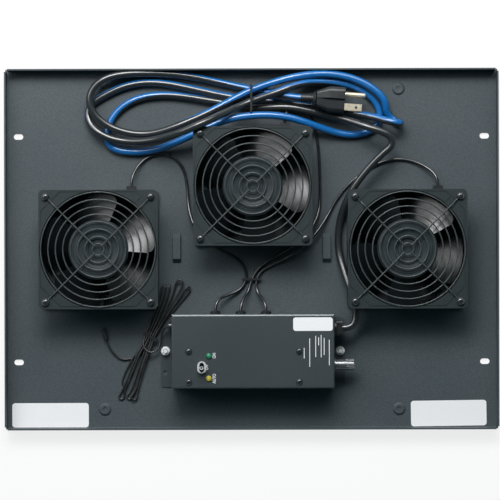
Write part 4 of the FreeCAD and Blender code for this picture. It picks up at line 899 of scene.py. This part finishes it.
# name, x from, x to, y from, y to, height, turn in degrees, corner radius
LABELS = (
    ("label_rear_left", -0.2425, -0.1651, -0.1798, -0.1552, FLOOR_TOP, 0.0, 3 * MM),
    ("label_rear_right", 0.1606, 0.2370, -0.1792, -0.1534, FLOOR_TOP, 0.7, 3 * MM),
    ("label_on_cover", 0.0411, 0.0805, -0.0816, -0.0681, COVER_TOP, 0.0, 2.6 * MM),
)


def rounded_patch(name, x0, x1, y0, y1, z, turn, radius):
    """A thin rounded rectangle of label paper."""
    bm = bmesh.new()
    bmesh.ops.create_grid(bm, x_segments=1, y_segments=1, size=0.5)
    bmesh.ops.scale(bm, vec=(x1 - x0, y1 - y0, 1), verts=bm.verts)
    bmesh.ops.bevel(bm, geom=bm.verts[:], offset=radius, offset_type="OFFSET", segments=6,
                    profile=0.5, affect="VERTICES", material=-1)
    raised = bmesh.ops.extrude_face_region(bm, geom=bm.faces[:])
    top = [v for v in raised["geom"] if isinstance(v, bmesh.types.BMVert)]
    bmesh.ops.translate(bm, vec=(0, 0, LABEL_THICKNESS), verts=top)
    bmesh.ops.recalc_face_normals(bm, faces=bm.faces)
    place = Matrix.Translation(((x0 + x1) / 2, (y0 + y1) / 2, z))
    place = place @ Matrix.Rotation(math.radians(turn), 4, "Z")
    bmesh.ops.transform(bm, matrix=place, verts=bm.verts)
    add_made(name, bm, "label_paper")


for label in LABELS:
    rounded_patch(*label)
print(len(LABELS), "labels laid")

# %% [markdown]
# ## Dimples in the tray's floor
# Four dimples are pressed up from the sheet round a hole. A shallow dish, a disc whose middle is
# inset and lowered, closes each hole as the sheet behind it does on the real tray.

# %% Dimple bottoms
DIMPLE_SPACING_X = 297.4 * MM
DIMPLE_SPACING_Y = 323.6 * MM
DIMPLE_RADIUS = 2.55 * MM
DIMPLE_HEIGHT = 2.7 * MM
DISH_RIM = 0.9 * MM
DISH_DEPTH = 0.35 * MM
bm = bmesh.new()
for x in (-DIMPLE_SPACING_X / 2, DIMPLE_SPACING_X / 2):
    for y in (-DIMPLE_SPACING_Y / 2, DIMPLE_SPACING_Y / 2):
        place = Matrix.Translation((x, y, DIMPLE_HEIGHT))
        disc = bmesh.ops.create_circle(bm, cap_ends=True, segments=24, radius=DIMPLE_RADIUS,
                                       matrix=place)
        face = disc["verts"][0].link_faces[0]
        bmesh.ops.inset_region(bm, faces=[face], thickness=DISH_RIM, depth=-DISH_DEPTH)
add_made("dimple_bottoms", bm, "tray_coat")
print("dimples closed with", DIMPLE_RADIUS / MM, "mm dishes")

# %% [markdown]
# ## Lettering
# The switch and lamps keep their plain words. Each word starts as a text curve, is made a mesh,
# narrowed to the height and width of the print, and laid on the cover a hair above the paint.

# %% Lettering
INK_LIFT = 0.06 * MM
INK_SPREAD = 0.06 * MM
INK_DEPTH = 0.05 * MM
CAP_SHARE = 0.7
# name, word, x, y, height, squeeze across the word
WORDS = (
    ("word_on", "ON", -0.0375, -0.1060, 3.2 * MM, 0.75),
    ("word_off", "OFF", -0.0449, -0.1176, 2.6 * MM, 0.8),
    ("word_auto", "AUTO", -0.0375, -0.1289, 3.2 * MM, 0.75),
)


def printed_word(name, word, x, y, height, squeeze):
    """A narrow word that reads towards +Y, its middle at x, y on the cover."""
    text = bpy.data.curves.new(name + "_text", "FONT")
    text.body = word
    text.size = height / CAP_SHARE
    text.align_x = "CENTER"
    text.align_y = "CENTER"
    text.offset = INK_SPREAD
    text.extrude = INK_DEPTH
    holder = bpy.data.objects.new(name + "_text", text)
    mesh = bpy.data.meshes.new_from_object(holder)
    mesh.name = name
    bpy.data.objects.remove(holder)
    lay = Matrix.Translation((x, y, COVER_TOP + INK_LIFT)) @ Matrix.Rotation(math.pi / 2, 4, "Z")
    mesh.transform(lay @ Matrix.Diagonal((squeeze, 1, 1, 1)))
    add_piece(name, mesh, "tray", "white_ink")


for word in WORDS:
    printed_word(*word)
print(len(WORDS), "words printed")

# %% [markdown]
# ## Printed lines
# The cover also carries lines of small print that can't be read. They are drawn as plain inked
# bars of the same length and place.

# %% Printed lines on the cover
INK_THICKNESS = 0.1 * MM
LINE_WIDTH = 0.7 * MM


def printed_line(name, x, y0, y1):
    """A thin inked bar that runs towards +Y on the cover."""
    bm = bmesh.new()
    middle = Matrix.Translation((x, (y0 + y1) / 2, COVER_TOP + INK_THICKNESS / 2))
    size = Matrix.Diagonal((LINE_WIDTH, y1 - y0, INK_THICKNESS, 1))
    bmesh.ops.create_cube(bm, size=1, matrix=middle @ size)
    add_made(name, bm, "white_ink")


# x, y from, y to
PRINTED_LINES = [
    (0.0520, -0.1090, -0.0985),
    (0.0575, -0.1174, -0.0891),
    (0.0635, -0.1075, -0.0866),
    (0.0664, -0.0960, -0.0880),
    (0.0689, -0.1080, -0.0856),
    (0.0719, -0.1055, -0.0886),
    (0.0770, -0.1159, -0.0905),
]
for index, (x, y0, y1) in enumerate(PRINTED_LINES):
    printed_line(f"printed_line_{index}", x, y0, y1)
print(len(PRINTED_LINES), "lines printed")

# %% [markdown]
# ## Floor and painted shade card
# A pale floor takes the tray's shadow. To the camera and to gloss most of it is an even white,
# and the rest is the true floor, so the shadow stays. The white adds no light of its own to the
# object. A dark card under the tray is painted shade: it keeps the fans' vents and the small gaps
# as dark as the shade under a tray on a bench.

# %% Floor and card
EVEN_WHITE_SHARE = 0.8
FLOOR_SIZE = 8.0
SHADE_CARD_SIZE = (0.45, 0.34)


def floor_finish():
    """White to the eye with a little of the true shadow."""
    material, tree, shader = plain_finish("studio_floor", (0.9, 0.9, 0.9), 0.9)
    path = tree.nodes.new("ShaderNodeLightPath")
    glow = tree.nodes.new("ShaderNodeEmission")
    glow.inputs["Color"].default_value = (1, 1, 1, 1)
    glow.inputs["Strength"].default_value = 1.0
    seen = tree.nodes.new("ShaderNodeMath")
    seen.operation = "MAXIMUM"
    share = tree.nodes.new("ShaderNodeMath")
    share.operation = "MULTIPLY"
    share.inputs[1].default_value = EVEN_WHITE_SHARE
    mix = tree.nodes.new("ShaderNodeMixShader")
    tree.links.new(path.outputs["Is Camera Ray"], seen.inputs[0])
    tree.links.new(path.outputs["Is Glossy Ray"], seen.inputs[1])
    tree.links.new(seen.outputs["Value"], share.inputs[0])
    tree.links.new(share.outputs["Value"], mix.inputs["Fac"])
    tree.links.new(shader.outputs["BSDF"], mix.inputs[1])
    tree.links.new(glow.outputs["Emission"], mix.inputs[2])
    tree.links.new(mix.outputs["Shader"], tree.nodes["Material Output"].inputs["Surface"])
    return material


def stage_sheet(name, width, depth, z, material):
    """A flat sheet of the studio, below the object."""
    bm = bmesh.new()
    place = Matrix.Translation((0, 0, z)) @ Matrix.Diagonal((width, depth, 1, 1))
    bmesh.ops.create_grid(bm, x_segments=1, y_segments=1, size=0.5, matrix=place)
    mesh = bpy.data.meshes.new(name)
    bm.to_mesh(mesh)
    bm.free()
    mesh.materials.append(material)
    sheet = bpy.data.objects.new(name, mesh)
    bpy.context.scene.collection.objects.link(sheet)


stage_sheet("studio_floor", FLOOR_SIZE, FLOOR_SIZE, -0.2 * MM, floor_finish())
# a dark sheet of painted shade under the tray
shade_card_finish = plain_finish("painted_shade_card", (0.012, 0.014, 0.015), 0.8)[0]
stage_sheet("painted_shade_card", *SHADE_CARD_SIZE, -0.1 * MM, shade_card_finish)
print("floor of", FLOOR_SIZE, "m and a dark card under the tray")

# %% [markdown]
# ## The backdrop
# The camera sees plain white. Everything else sees a pale sweep round the horizon that fades to a
# dim, slightly teal ceiling, which is what gives the dark paint its cool tone and the glossy
# parts their gradient.

# %% Backdrop
BACKDROP_GLOW = 0.3
CEILING_GLOW = 0.06
SWEEP_FROM = 0.1
SWEEP_TO = 0.45
TEAL = (0.5, 0.95, 1.05, 1)
world = bpy.data.worlds.new("studio")
bpy.context.scene.world = world
world.use_nodes = True
studio = world.node_tree
sky = studio.nodes["Background"]
heading = studio.nodes.new("ShaderNodeTexCoord")
height = studio.nodes.new("ShaderNodeSeparateXYZ")
studio.links.new(heading.outputs["Generated"], height.inputs["Vector"])
sweep = studio.nodes.new("ShaderNodeMapRange")
sweep.interpolation_type = "SMOOTHSTEP"
sweep.inputs["From Min"].default_value = SWEEP_FROM
sweep.inputs["From Max"].default_value = SWEEP_TO
sweep.inputs["To Min"].default_value = BACKDROP_GLOW
sweep.inputs["To Max"].default_value = CEILING_GLOW
studio.links.new(height.outputs["Z"], sweep.inputs["Value"])
rays = studio.nodes.new("ShaderNodeLightPath")
seen = studio.nodes.new("ShaderNodeMix")
seen.inputs["B"].default_value = 1.0
studio.links.new(rays.outputs["Is Camera Ray"], seen.inputs["Factor"])
studio.links.new(sweep.outputs["Result"], seen.inputs["A"])
studio.links.new(seen.outputs["Result"], sky.inputs["Strength"])
tint = studio.nodes.new("ShaderNodeMix")
tint.data_type = "RGBA"
tint.inputs["A"].default_value = TEAL
tint.inputs["B"].default_value = (1, 1, 1, 1)
studio.links.new(rays.outputs["Is Camera Ray"], tint.inputs["Factor"])
studio.links.new(tint.outputs["Result"], sky.inputs["Color"])
print("backdrop glows from", BACKDROP_GLOW, "down to", CEILING_GLOW)

# %% [markdown]
# ## Two lamps
# A wide soft lamp stands beyond the far side, a little to the left, so shadows fall towards the
# near side. A small core lamp beside it draws the sharper streaks on the polished blades and the
# cord.

# %% Lamps
# name, place in metres, width, height, watts
LAMPS = (
    ("wide_lamp", (-0.45, 1.25, 1.5), 4.0, 1.2, 48),
    ("core_lamp", (-0.15, 1.0, 1.15), 0.75, 0.5, 14),
)


def soft_lamp(name, place, width, height, watts):
    """An area lamp that faces the middle of the tray."""
    data = bpy.data.lights.new(name, "AREA")
    data.shape = "RECTANGLE"
    data.size = width
    data.size_y = height
    data.energy = watts
    lamp = bpy.data.objects.new(name, data)
    lamp.location = place
    lamp.rotation_euler = (-Vector(place)).to_track_quat("-Z", "Y").to_euler()
    bpy.context.scene.collection.objects.link(lamp)


for lamp in LAMPS:
    soft_lamp(*lamp)
print(len(LAMPS), "lamps lit")

# %% View transform
bpy.context.scene.view_settings.view_transform = "Standard"
